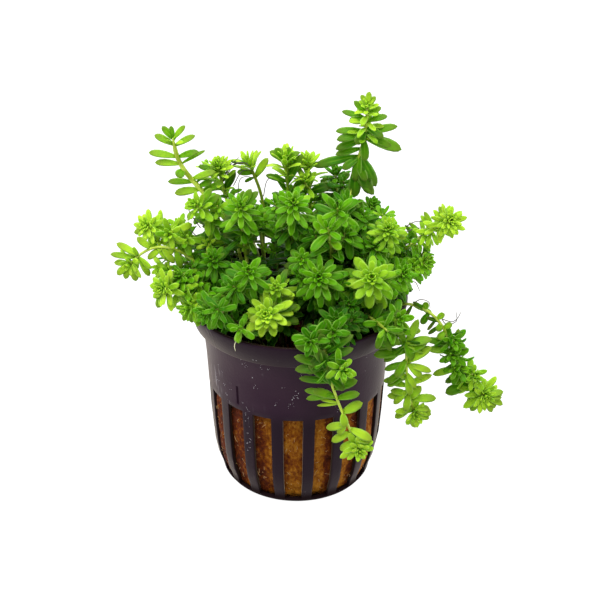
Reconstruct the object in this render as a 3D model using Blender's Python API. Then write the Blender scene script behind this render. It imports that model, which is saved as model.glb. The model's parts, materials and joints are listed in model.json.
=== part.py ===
"""Rotala plantlets growing from a mineral-wool plug in a slotted nursery pot.

Origin at the centre of the pot's foot on the floor, +Z up, -Y towards the front.
All lengths are named in millimetres and turned into metres by MM.
"""
from math import atan2, cos, hypot, pi, radians, sin

import bmesh
import bpy
import numpy as np

MM = 0.001
GAP = 0.3            # clear space between pieces that lie against each other

# Pot
HEIGHT = 50.5        # foot to rim
RIM_RADIUS = 27.5    # outer edge of the rim
COLLAR_LOW = 44.5    # underside of the stepped collar
COLLAR_RADIUS = 25.7
WALL = 1.0
FLOOR = 1.2
SLOTS = 18
SLOT_ANGLE = 12.6    # degrees of each slot; the rest of the pitch is rib
SLOT_TURN = -2.0     # degrees from the front to the nearest slot's middle
SLOT_LOW = 1.5
SLOT_HIGH = 27.6
DRAIN_IN = 7.0       # drain slots in the floor, from this radius
DRAIN_OUT = 14.0     # to this one

# Outer wall below the collar: (height, radius)
WALL_OUTER = [(0.5, 18.6), (SLOT_LOW, 19.3), (4.0, 19.9), (7.0, 20.9), (11.0, 21.6),
              (18.0, 22.1), (SLOT_HIGH, 22.5), (36.0, 22.9), (COLLAR_LOW, 23.6)]
FOOT_RADIUS = 17.0   # flat underside

# Mineral-wool plug
PLUG_LOW = FLOOR + GAP
PLUG_TOP = 38.5
PLUG_INSET = 2.9     # from the pot's outer wall to the wool, at the front
PLUG_SWELL = 1.0     # how much nearer to the wall it is at the sides and the back
PLUG_SIDES = 28
PLUG_LEVELS = [PLUG_LOW, 2.7, 4.0, 7.0, 11.0, 18.0, 28.0, PLUG_TOP - 1.2]
PLUG_FOOT_IN = 1.6   # the plug's foot is this much narrower, clear of the pot's inner corner
PLUG_TOP_IN = 2.2    # and its top this much

# Shoots
STEM_RADIUS = 0.7
ROOT_LIMIT = 16.8    # no stem stands further from the plug's middle
ROOT_SPACING = 3.5
CROWN = 6.6          # leaf reach from the stem of a full crown
CROWN_BASE = 0.55    # share of that reach where the crown starts
TIP_REACH = 3.6      # leaves past the growing tip
BARE_TO = 53.0       # stems are bare up to this height
RING_SPACING = 4.6
STEM_SIDES = 6
ROOT_PULL = 0.78     # share of a stem's first reach at which it is rooted
RISE = 6.0           # height above the wool up to which a stem goes nearly straight up
RISE_SPREAD = 1.08
SAMPLES_PER_SPAN = 8
PATH_SPACING = 1.6   # between the points of a stem while stems are pushed apart
FINE_SPACING = 0.8   # and where crowns are measured against each other
CELL_GAP = 0.6       # clear space between neighbouring crowns
PATH_CLEARANCE = 2.9

# Points each stem passes after it leaves the wool, the last one its growing tip: (x, y, z) in mm.
SHOOTS = {
    "shoot_01": [(-20, 2, 73), (-24, 1, 79), (-28.5, 0, 84), (-29, 0, 91)],
    "shoot_02": [(-17, 6, 72), (-19, 5, 79), (-19, 4, 83)],
    "shoot_03": [(-8, 6, 72), (-10, 6, 78), (-12, 6, 83)],
    "shoot_04": [(-2, 4, 74), (-3, 4, 80), (-3, 4, 85)],
    "shoot_05": [(3, 6, 75), (3, 5, 81), (2, 5, 84)],
    "shoot_06": [(-19, -1, 67), (-21, -4, 74), (-24, -6, 77)],
    "shoot_07": [(-13, -6, 70), (-13, -9, 76), (-13, -11, 79)],
    "shoot_08": [(-1, -6, 71), (-1, -9, 76), (-1, -11, 80)],
    "shoot_09": [(-21, -1, 62), (-28, -3, 67), (-32, -4, 69), (-36, -5, 71)],
    "shoot_10": [(-24, -6, 62), (-31, -8, 68), (-36, -8, 67), (-40, -8, 62)],
    "shoot_11": [(-23, -5, 57), (-28, -5, 61), (-33, -5, 60)],
    "shoot_12": [(-22, -11, 55), (-28, -12, 58), (-32, -12, 58)],
    "shoot_13": [(-16, -16, 56), (-19, -20, 58), (-21, -22, 57)],
    "shoot_14": [(-19, -11, 55), (-24, -14, 57), (-26, -15, 54)],
    "shoot_15": [(-12, -19, 51), (-13, -22, 54), (-13, -26, 55)],
    "shoot_16": [(-10, -12, 55), (-11, -16, 61), (-11, -20, 67)],
    "shoot_17": [(-4, -12, 53), (-4, -17, 60), (-5, -20, 63)],
    "shoot_18": [(-4, -13, 52), (-6, -18, 57), (-7, -23, 57)],
    "shoot_19": [(6, -8, 53), (6, -14, 60), (5, -19, 65)],
    "shoot_20": [(3, -6, 58), (2, -12, 64), (1, -16, 68)],
    "shoot_21": [(17, -8, 53), (17, -14, 60), (17, -19, 65)],
    "shoot_22": [(21, -3, 60), (21, -7, 68), (21, -10, 73)],
    "shoot_23": [(10, -4, 66), (10, -8, 74), (9, -11, 78.5)],
    "shoot_24": [(8, -9, 63), (8, -13, 70), (7, -14, 75)],
    "shoot_25": [(9, 7, 68), (10, 9, 75), (9, 10, 79)],
    "shoot_26": [(12, 1, 71), (13, 3, 82), (16, 3, 90), (16, 3, 98.5)],
    "shoot_27": [(20, -2, 56), (26, -3, 65), (31, -3, 69), (36, -5, 73)],
    "shoot_28": [(22, -2, 53), (27, -5, 61), (31, -6, 63)],
    "shoot_29": [(20, -8, 54), (23, -10, 60), (25, -13, 63)],
    "shoot_30": [(15, -10, 51), (16, -16, 54), (21, -23, 53)],
    "shoot_31": [(9, -17, 48), (9, -23, 53), (9, -25, 57)],
    "shoot_32": [(-8, -1, 60), (-9, -4, 69), (-9, -5, 73)],
    "shoot_33": [(3, -4, 64), (2, -7, 71), (3, -9, 74)],
    "shoot_34": [(14, -2, 63), (15, -4, 70), (15, -6, 74)],
    "shoot_35": [(16, 2, 66), (17, 2, 70), (18, 2, 74)],
    "shoot_36": [(-18, -5, 56), (-19, -8, 62), (-20, -10, 65)],
    "shoot_37": [(-22, -7, 54), (-26, -9, 58), (-28, -11, 61)],
    "shoot_38": [(-14, -13, 52), (-15, -17, 58), (-16, -19, 61)],
    "shoot_39": [(13, -13, 49), (13, -17, 54), (12, -19, 58)],
    "shoot_40": [(18, -5, 58), (18, -8, 65), (18, -10, 69)],
    "shoot_41": [(-18, 9, 54), (-22, 11, 60), (-24, 13, 64)],
    "shoot_42": [(-12, 12, 54), (-15, 15, 60), (-16, 17, 63)],
    "shoot_43": [(-5, 13, 54), (-7, 17, 59), (-7, 19, 62)],
    "shoot_44": [(2, 14, 55), (3, 18, 61), (3, 20, 64)],
    "shoot_45": [(9, 12, 55), (11, 16, 62), (12, 18, 66)],
    "shoot_46": [(14, 9, 54), (18, 12, 59), (21, 13, 63)],
    "shoot_47": [(20, 4, 52), (25, 7, 58), (28, 8, 62)],
    "shoot_48": [(-21, 14, 53), (-27, 17, 57), (-31, 19, 56)],
    "shoot_49": [(-10, 19, 52), (-14, 25, 57), (-15, 29, 57)],
    "shoot_50": [(0, 20, 52), (-1, 26, 57), (-1, 30, 57)],
    "shoot_51": [(9, 19, 52), (12, 24, 57), (13, 28, 57)],
    "shoot_52": [(18, 14, 52), (23, 19, 57), (26, 22, 56)],
    "shoot_53": [(-20, 4, 52), (-28, 6, 56), (-33, 7, 57)],
    "shoot_54": [(-6, 6, 60), (-8, 8, 67), (-8, 9, 70)],
    "trailing_shoot_1": [(19, -7, 48), (23, -8, 53), (29, -9, 53), (34, -10, 50), (37, -10, 44),
                         (39, -10, 37), (42, -10, 31), (47, -10, 27)],
    "trailing_shoot_2": [(15, -11, 47), (20, -15, 53), (25, -18, 53), (26, -20, 46), (26, -19, 38),
                         (27, -19, 32), (29, -18, 27)],
    "trailing_shoot_3": [(5, -17, 46), (6, -23, 53), (6, -29, 54), (7, -30, 47), (9, -29, 39),
                         (12, -28, 31), (15, -28, 23)],
}

COLOURS = {
    "pot_plastic": ((0.020, 0.014, 0.022), 0.38),
    "mineral_wool": ((0.26, 0.105, 0.012), 0.95),
    "leaf": ((0.13, 0.36, 0.012), 0.45),
}


def clear_scene():
    for item in list(bpy.data.objects):
        bpy.data.objects.remove(item, do_unlink=True)


def finish_material(name):
    colour, roughness = COLOURS[name]
    material = bpy.data.materials.new(name)
    material.use_nodes = True
    shader = material.node_tree.nodes["Principled BSDF"]
    shader.inputs["Base Color"].default_value = (*colour, 1.0)
    shader.inputs["Roughness"].default_value = roughness
    shader.inputs["Metallic"].default_value = 0.0
    material.diffuse_color = (*colour, 1.0)
    return material


def add_object(name, bm, material, sharp=35.0):
    bmesh.ops.recalc_face_normals(bm, faces=bm.faces)
    bmesh.ops.scale(bm, vec=(MM, MM, MM), verts=bm.verts)
    mesh = bpy.data.meshes.new(name)
    bm.to_mesh(mesh)
    bm.free()
    mesh.materials.append(material)
    mesh.shade_smooth()
    mesh.set_sharp_from_angle(angle=radians(sharp))
    item = bpy.data.objects.new(name, mesh)
    bpy.context.scene.collection.objects.link(item)
    return item


def wall_radius(height):
    """Outer radius of the pot at a height, collar included."""
    if height > COLLAR_LOW:
        share = (height - COLLAR_LOW) / (HEIGHT - COLLAR_LOW)
        return COLLAR_RADIUS + (RIM_RADIUS - COLLAR_RADIUS) * min(share, 1.0)
    heights = [0.0] + [h for h, r in WALL_OUTER]
    radii = [FOOT_RADIUS] + [r for h, r in WALL_OUTER]
    return float(np.interp(height, heights, radii))


def pot_profile():
    """Closed outline of the pot's wall in the XZ plane, outside first, as (radius, height)."""
    outside = [(FOOT_RADIUS, 0.0)] + [(r, h) for h, r in WALL_OUTER]
    collar = [(COLLAR_RADIUS - 0.3, COLLAR_LOW), (COLLAR_RADIUS, COLLAR_LOW + 0.4),
              (RIM_RADIUS - 0.2, HEIGHT - 0.5), (RIM_RADIUS - 0.3, HEIGHT),
              (RIM_RADIUS - WALL, HEIGHT), (COLLAR_RADIUS - WALL, COLLAR_LOW + 0.9)]
    inside = [(r - WALL, h) for h, r in reversed(WALL_OUTER) if h >= SLOT_LOW]
    floor = [(DRAIN_OUT, FLOOR), (DRAIN_IN, FLOOR)]
    under = [(DRAIN_IN, 0.0), (DRAIN_OUT, 0.0)]
    return outside, collar, inside, floor, under


def open_window(bm, outer_faces, inner_faces):
    """Cut a window through the wall between two matching patches of faces."""
    patches = [outer_faces, inner_faces]
    rims = []
    for patch in patches:
        members = set(patch)
        rims += [edge for face in patch for edge in face.edges
                 if any(other not in members for other in edge.link_faces)]
    doomed = [face for patch in patches for face in patch]
    bmesh.ops.delete(bm, geom=doomed, context="FACES_ONLY")
    loose = [edge for edge in bm.edges if not edge.link_faces]
    keep = [edge for edge in rims if edge.is_valid and edge not in loose]
    bmesh.ops.delete(bm, geom=loose, context="EDGES")
    bmesh.ops.bridge_loops(bm, edges=list(dict.fromkeys(keep)))


def build_pot():
    """One moulded shell: collar, wall with slots, and a floor with drain slots."""
    outside, collar, inside, floor, under = pot_profile()
    outline = outside + collar + inside + floor
    bm = bmesh.new()
    ring = [bm.verts.new((r, 0.0, h)) for r, h in outline]
    under_ring = [bm.verts.new((r, 0.0, h)) for r, h in under]
    edges = [bm.edges.new(pair) for pair in zip(ring, ring[1:])]
    edges += [bm.edges.new(pair) for pair in zip(under_ring, under_ring[1:])]
    edges.append(bm.edges.new((under_ring[-1], ring[0])))
    bmesh.ops.spin(bm, geom=ring + under_ring + edges, cent=(0, 0, 0), axis=(0, 0, 1),
                   angle=2 * pi, steps=2 * SLOTS, use_merge=True)
    bmesh.ops.remove_doubles(bm, verts=bm.verts, dist=0.001)
    for level in (FLOOR, 0.0):
        rim = [edge for edge in bm.edges if len(edge.link_faces) == 1
               and all(abs(vert.co.z - level) < 0.01 for vert in edge.verts)]
        bmesh.ops.contextual_create(bm, geom=rim)
    turn_to_slots(bm)
    bm.faces.ensure_lookup_table()
    pitch = 2 * pi / SLOTS
    patches = {}
    for face in bm.faces:
        centre = face.calc_center_median()
        turn = atan2(centre.x, -centre.y) - radians(SLOT_TURN)
        number = round(turn / pitch)
        if abs(turn - number * pitch) > radians(SLOT_ANGLE) * 0.4:
            continue
        radius = hypot(centre.x, centre.y)
        if SLOT_LOW < centre.z < SLOT_HIGH and radius > DRAIN_OUT:
            side = "outer" if radius > wall_radius(centre.z) - WALL * 0.5 else "inner"
            patches.setdefault(("wall", number % SLOTS), {}).setdefault(side, []).append(face)
        elif DRAIN_IN < radius < DRAIN_OUT and number % 2 == 0:
            side = "outer" if centre.z < FLOOR * 0.5 else "inner"
            patches.setdefault(("floor", number % SLOTS), {}).setdefault(side, []).append(face)
    for sides in patches.values():
        open_window(bm, sides["outer"], sides["inner"])
    return bm


def turn_to_slots(bm):
    """Turn the spun sectors so that slots and ribs take their own shares of the pitch."""
    pitch = 360.0 / SLOTS
    half = pitch / 2
    for vert in bm.verts:
        radius = hypot(vert.co.x, vert.co.y)
        if radius < 0.001:
            continue
        step = round(np.degrees(atan2(vert.co.y, vert.co.x)) / half)
        edge = SLOT_ANGLE / 2 if step % 2 else -SLOT_ANGLE / 2
        turn = radians((step // 2) * pitch + edge + SLOT_TURN - 90.0)
        vert.co.x = radius * cos(turn)
        vert.co.y = radius * sin(turn)


def build_plug():
    """The wool plug: it follows the wall inside, nearest to it at the sides and the back."""
    bm = bmesh.new()
    points = [(0.0, PLUG_LOW), (wall_radius(PLUG_LOW) - PLUG_INSET - PLUG_FOOT_IN, PLUG_LOW)]
    points += [(wall_radius(h) - PLUG_INSET, h) for h in PLUG_LEVELS[1:]]
    points += [(wall_radius(PLUG_TOP) - PLUG_INSET - PLUG_TOP_IN, PLUG_TOP), (0.0, PLUG_TOP)]
    ring = [bm.verts.new((r, 0.0, h)) for r, h in points]
    edges = [bm.edges.new(pair) for pair in zip(ring, ring[1:])]
    bmesh.ops.spin(bm, geom=ring + edges, cent=(0, 0, 0), axis=(0, 0, 1),
                   angle=2 * pi, steps=PLUG_SIDES, use_merge=True)
    bmesh.ops.remove_doubles(bm, verts=bm.verts, dist=0.001)
    for vert in bm.verts:
        reach = hypot(vert.co.x, vert.co.y)
        if reach > 1.0 and PLUG_LOW + 1 < vert.co.z < PLUG_TOP - 1:
            turn = atan2(vert.co.y, vert.co.x)
            behind = 0.5 + 0.5 * sin(turn)
            wave = 0.08 * sin(3 * turn + vert.co.z) + 0.06 * sin(7 * turn)
            swell = 1.0 + (PLUG_SWELL * min(1.0, 3.0 * behind) + wave) / reach
            vert.co.x *= swell
            vert.co.y *= swell
    return bm


def spread_roots(names):
    """Stand the stems on the plug below where they lead, no two closer than the spacing."""
    spots = []
    for name in names:
        x, y, z = SHOOTS[name][0]
        reach = hypot(x, y)
        share = min(ROOT_PULL, ROOT_LIMIT / max(reach, 1.0))
        spots.append([x * share, y * share])
    spots = np.array(spots)
    for _ in range(120):
        apart = spots[:, None, :] - spots[None, :, :]
        distance = np.sqrt((apart ** 2).sum(axis=2)) + np.eye(len(spots)) * 99.0
        push = np.clip(ROOT_SPACING - distance, 0.0, None) * 0.25
        spots += (apart / distance[..., None] * push[..., None]).sum(axis=1)
        reach = np.sqrt((spots ** 2).sum(axis=1))
        spots *= np.minimum(1.0, ROOT_LIMIT / reach)[:, None]
    return spots


def smooth_path(points):
    """Catmull-Rom curve through the points, sampled evenly between each two."""
    points = [np.array(p, float) for p in points]
    knots = [2 * points[0] - points[1]] + points + [2 * points[-1] - points[-2]]
    out = []
    for a, b, c, d in zip(knots, knots[1:], knots[2:], knots[3:]):
        for step in range(SAMPLES_PER_SPAN):
            t = step / SAMPLES_PER_SPAN
            out.append(0.5 * (2 * b + (c - a) * t + (2 * a - 5 * b + 4 * c - d) * t ** 2
                              + (3 * b - 3 * c + d - a) * t ** 3))
    out.append(points[-1])
    return np.array(out)


def even_path(path, spacing):
    """The same curve with its points a near-even distance apart."""
    lengths = np.concatenate([[0.0], np.cumsum(np.sqrt((np.diff(path, axis=0) ** 2).sum(1)))])
    count = max(4, int(round(lengths[-1] / spacing)))
    marks = np.linspace(0.0, lengths[-1], count + 1)
    return np.stack([np.interp(marks, lengths, path[:, k]) for k in range(3)], axis=1)


def ease_apart(paths):
    """Push stems that pass too close gently aside, holding their roots and tips."""
    sizes = [len(path) for path in paths]
    owner = np.repeat(np.arange(len(paths)), sizes)
    points = np.concatenate(paths)
    place = np.concatenate([np.arange(size) / (size - 1) for size in sizes])
    freedom = np.clip(np.minimum(place * 4.0, (1.0 - place) * 2.5), 0.0, 1.0)[:, None]
    same_stem = owner[:, None] == owner[None, :]
    for _ in range(60):
        square = (points ** 2).sum(axis=1)
        product = points @ points.T
        distance = np.sqrt(np.maximum(square[:, None] + square[None, :] - 2.0 * product, 0.0))
        distance[same_stem] = 99.0
        push = np.clip(PATH_CLEARANCE - distance, 0.0, None) * 0.2 / np.maximum(distance, 0.3)
        shift = points * push.sum(axis=1)[:, None] - push @ points
        shift[:, 2] *= 0.2
        points = points + np.clip(shift, -0.4, 0.4) * freedom
        starts = np.cumsum([0] + sizes[:-1])
        for start, size in zip(starts, sizes):
            part = points[start:start + size]
            middle = (part[:-2] + part[2:]) / 2
            points[start + 1:start + size - 1] += (middle - part[1:-1]) * 0.15
    return np.split(points, np.cumsum(sizes)[:-1])


def stem_paths():
    names = list(SHOOTS)
    roots = spread_roots(names)
    paths = []
    for name, (x, y) in zip(names, roots):
        rise = (x * RISE_SPREAD, y * RISE_SPREAD, PLUG_TOP + RISE)
        start = (x, y, PLUG_TOP + GAP)
        paths.append(even_path(smooth_path([start, rise] + SHOOTS[name]), PATH_SPACING))
    return names, ease_apart(paths)


def clear_of_pot(point):
    """Whether a point keeps the gap to the pot's wall and the plug's top."""
    x, y, z = point
    reach = hypot(x, y)
    if z > HEIGHT + GAP:
        return True
    outer = wall_radius(z)
    if z > COLLAR_LOW - 1.0:
        outer = max(outer, COLLAR_RADIUS)
    inner = min(wall_radius(z), wall_radius(z - 0.9)) - WALL
    if reach > outer + GAP:
        return True
    return reach < inner - GAP and z > PLUG_TOP + GAP * 0.9


def free_reach(centre, direction, wanted, others):
    """How far a crown may reach before it meets the pot or a neighbour's share of the space."""
    reach = STEM_RADIUS
    step = 0.3
    while reach < wanted:
        point = centre + direction * (reach + step)
        nearest = np.sqrt(((others - point) ** 2).sum(axis=1).min())
        if nearest < reach + step + CELL_GAP or not clear_of_pot(point):
            break
        reach += step
    return reach


def crown_reach(height, along, length):
    """Leaf reach at a place on a stem: bare low down, widest in the crown, closing at the tip."""
    left = length - along
    if height < BARE_TO - 4.0 and along < 0.35 * length:
        return STEM_RADIUS
    opening = np.clip((height - (BARE_TO - 4.0)) / 8.0, 0.0, 1.0) if along < 0.5 * length else 1.0
    closing = CROWN_BASE + (1 - CROWN_BASE) * np.clip(left / 6.0, 0.0, 1.0)
    return max(STEM_RADIUS, CROWN * opening * closing)


def ring_frames(centres):
    """Ring centres along a stem, one more past its tip, with two directions across each."""
    last = centres[-1] - centres[-2]
    centres = np.vstack([centres, centres[-1] + last / np.linalg.norm(last) * TIP_REACH])
    side = np.array([1.0, 0.0, 0.0])
    frames = []
    for number, centre in enumerate(centres):
        forward = centres[min(number + 1, len(centres) - 1)] - centres[max(number - 1, 0)]
        if number == 0:
            forward = np.array([0.0, 0.0, 1.0])
        forward = forward / np.linalg.norm(forward)
        side = side - forward * side.dot(forward)
        side /= np.linalg.norm(side)
        frames.append((centre, side, np.cross(forward, side)))
    return frames


def skin_faces(rings):
    """Corners of the skin's triangles, each as three (ring, side) places."""
    faces = []
    for ring in range(rings - 1):
        for k in range(STEM_SIDES):
            m = (k + 1) % STEM_SIDES
            faces.append(((ring, k), (ring, m), (ring + 1, m)))
            faces.append(((ring, k), (ring + 1, m), (ring + 1, k)))
    return faces


def draw_in(centres, directions, reach, path, others):
    """Shorten the reach wherever the skin between the rings would meet a neighbour or the pot."""
    parts = 4
    mixes = np.array([(i, j, parts - i - j) for i in range(parts + 1)
                      for j in range(parts + 1 - i)]) / parts
    faces = [face for face in skin_faces(len(centres)) if face[0][0] > 0]
    for _ in range(20):
        skin = centres[:, None, :] + directions * reach[..., None]
        corners = np.array([[skin[place] for place in face] for face in faces])
        spots = np.einsum("sc,fcx->fsx", mixes, corners)
        own = np.sqrt(((spots[:, :, None, :] - path) ** 2).sum(axis=3).min(axis=2))
        near = np.sqrt(((spots[:, :, None, :] - others) ** 2).sum(axis=3).min(axis=2))
        fails = (near < own + CELL_GAP).any(axis=1)
        changed = False
        for face, fail, face_spots in zip(faces, fails, spots):
            if fail or not all(clear_of_pot(spot) for spot in face_spots):
                for place in face:
                    shorter = max(STEM_RADIUS, reach[place] * 0.9)
                    changed = changed or shorter < reach[place]
                    reach[place] = shorter
        if not changed:
            break
    return centres[:, None, :] + directions * reach[..., None]


def build_shoot(stem, path, others):
    """One stem with its leafy crown: rings of points lofted along the stem's path."""
    frames = ring_frames(stem)
    centres = np.array([frame[0] for frame in frames])
    lengths = np.concatenate([[0.0], np.cumsum(np.sqrt((np.diff(centres, axis=0) ** 2).sum(1)))])
    turns = [2 * pi * k / STEM_SIDES for k in range(STEM_SIDES)]
    directions = np.array([[side * cos(t) + across * sin(t) for t in turns]
                           for centre, side, across in frames])
    near = np.sqrt(((others[:, None, :] - path[None, ::3, :]) ** 2).sum(axis=2).min(axis=1))
    others = others[near < 3 * CROWN]
    reach = np.full((len(frames), STEM_SIDES), STEM_RADIUS)
    for number, centre in enumerate(centres):
        wanted = crown_reach(centre[2], lengths[number], lengths[-2])
        if number == len(centres) - 1:
            wanted = CROWN * 0.25
        if wanted > STEM_RADIUS:
            for k in range(STEM_SIDES):
                reach[number, k] = free_reach(centre, directions[number, k], wanted, others)
    skin = draw_in(centres, directions, reach, path, others)
    bm = bmesh.new()
    loops = [[bm.verts.new(point) for point in ring] for ring in skin]
    for face in skin_faces(len(loops)):
        bm.faces.new([loops[ring][k] for ring, k in face])
    bm.faces.new(loops[0])
    bm.faces.new(loops[-1])
    return bm


def main():
    clear_scene()
    materials = {name: finish_material(name) for name in COLOURS}
    add_object("pot", build_pot(), materials["pot_plastic"])
    add_object("wool_plug", build_plug(), materials["mineral_wool"])
    names, paths = stem_paths()
    paths = [even_path(path, RING_SPACING) for path in paths]
    fine = [even_path(path, FINE_SPACING) for path in paths]
    for number, name in enumerate(names):
        others = np.concatenate([path for k, path in enumerate(fine) if k != number])
        shoot = build_shoot(paths[number], fine[number], others)
        add_object(name, shoot, materials["leaf"], sharp=60.0)


if __name__ == "__main__":
    main()
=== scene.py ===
"""Looks of a potted bunch of rotala plantlets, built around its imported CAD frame.

Lengths in the tables and functions are in millimetres, and MM turns them into metres.
The origin is the middle of the pot's foot, with +Z up and the front towards -Y.
"""
import json
from collections import namedtuple
from math import atan2, copysign, cos, degrees, hypot, pi, radians, sin

import bmesh
import bpy
import numpy as np
from bpy.props import FloatProperty, FloatVectorProperty, IntProperty, PointerProperty
from mathutils import Matrix, Quaternion, Vector, noise

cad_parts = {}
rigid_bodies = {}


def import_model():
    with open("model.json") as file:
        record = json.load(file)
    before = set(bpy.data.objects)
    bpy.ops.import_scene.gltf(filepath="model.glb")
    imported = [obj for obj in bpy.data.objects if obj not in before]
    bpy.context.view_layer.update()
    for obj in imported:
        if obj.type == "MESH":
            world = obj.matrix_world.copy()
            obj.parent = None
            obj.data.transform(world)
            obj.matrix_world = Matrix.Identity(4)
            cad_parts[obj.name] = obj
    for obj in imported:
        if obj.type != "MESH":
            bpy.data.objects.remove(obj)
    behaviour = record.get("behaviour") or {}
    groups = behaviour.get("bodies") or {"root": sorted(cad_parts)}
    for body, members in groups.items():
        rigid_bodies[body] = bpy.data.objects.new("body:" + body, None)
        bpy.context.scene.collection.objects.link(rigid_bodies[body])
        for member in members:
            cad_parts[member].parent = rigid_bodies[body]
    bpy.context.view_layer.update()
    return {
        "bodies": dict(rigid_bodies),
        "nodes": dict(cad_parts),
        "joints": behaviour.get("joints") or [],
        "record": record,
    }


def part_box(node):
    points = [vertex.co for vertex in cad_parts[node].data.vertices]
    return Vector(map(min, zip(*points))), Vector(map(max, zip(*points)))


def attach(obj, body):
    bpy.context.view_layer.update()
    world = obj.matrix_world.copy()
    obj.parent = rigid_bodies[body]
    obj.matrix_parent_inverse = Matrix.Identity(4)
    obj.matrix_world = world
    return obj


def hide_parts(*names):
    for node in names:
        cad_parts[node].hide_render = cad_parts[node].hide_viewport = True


bl_info = {
    "name": "Rotala in a Slotted Pot",
    "version": (1, 0, 0),
    "blender": (4, 5, 0),
    "location": "View3D > Sidebar > Rotala",
    "description": "Builds the pot, the wool plug, the leafy shoots and the stage around the CAD frame",
    "category": "Object",
}

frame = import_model()

MM = 0.001
WHITE = (1.0, 1.0, 1.0)
DOWN = Vector((0.0, 0.0, -1.0))

# Pot, as in the CAD
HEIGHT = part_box("pot")[1].z / MM
RIM_RADIUS = 27.5
COLLAR_LOW = 44.5
COLLAR_RADIUS = 25.7
FOOT_RADIUS = 17.0
SLOTS = 18
SLOT_PITCH = 360.0 / SLOTS
SLOT_ANGLE = 12.6
SLOT_TURN = -2.0
SLOT_LOW = 1.5
SLOT_HIGH = 27.6
DRAIN_IN = 7.0
DRAIN_OUT = 14.0

# The small dent in the pot's wall: its place in degrees to the right of the front, its half width in
# degrees, its heights, the border round it and its depth
DENT_ANGLE = -39.0
DENT_HALF = 1.01
DENT_LOW = 29.0
DENT_HIGH = 34.4
DENT_BORDER = 0.16
DENT_DEPTH = 0.45

# The pot's skin: steps of its turn for each slot, the step in degrees that is moved to a slot's
# edge, the rounding of its edges, and its outer outline as (height, radius)
STEPS_PER_SLOT = 10
SLOT_STEP = 6.0
EDGE_ROUNDING = 0.12
WALL_OUTER = [(0.5, 18.6), (SLOT_LOW, 19.3), (4.0, 19.9), (7.0, 20.9), (11.0, 21.6),
              (18.0, 22.1), (SLOT_HIGH, 22.5), (DENT_LOW, 22.54), (DENT_HIGH, 22.8),
              (36.0, 22.9), (COLLAR_LOW, 23.6)]

# Wool plug, as in the CAD
GAP = 0.3
PLUG_LOW = 1.5
PLUG_TOP = 38.5

# The plug's skin: how far it is from the pot's outer wall before it swells, how far its sides and
# back swell, what they keep clear, how far the wool bulges into the slots, the radius inside which
# it does neither, its wider foot, its upper edge's height, its levels and steps, and its rings at
# the top as distances inwards from its side
PLUG_INSET = 2.3
PLUG_SWELL = 1.6
PLUG_CLEAR = 1.0
PLUG_BULGE = 0.6
PLUG_CORE = 12.0
PLUG_FOOT_OUT = 0.8
PLUG_EDGE = 1.2
PLUG_LEVELS = 34
PLUG_STEPS = 360
PLUG_TOP_RINGS = (2.2, 6.0, 10.0, 14.0, 18.0)

# How far from a slot's middle, in degrees away from the front, the wool takes painted shade: left and
# right
SHADE_LEFT = [-3.5, 2.5, 6.0]
SHADE_RIGHT = [0.5, 4.0, 6.0]

FIBRE_RADIUS = 0.045
FIBRE_SPACING = 0.3
FIBRE_SEED = 11

# Stem routes, as in the CAD: where the stems stand on the plug, how they rise, and how those that
# pass too close are pushed apart
ROOT_LIMIT = 16.8
ROOT_SPACING = 3.5
ROOT_PULL = 0.78
ROOT_ROUNDS = 120
ROOT_PUSH = 0.25
FAR = 99.0
RISE = 6.0
RISE_SPREAD = 1.08
SAMPLES_PER_SPAN = 8
PATH_SPACING = 1.6
PATH_CLEARANCE = 2.9
ROOT_HOLD = 4.0
TIP_HOLD = 2.5
EASE_ROUNDS = 60
EASE_PUSH = 0.2
EASE_LIFT = 0.2
EASE_LIMIT = 0.4
EASE_SMOOTHING = 0.15

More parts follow.
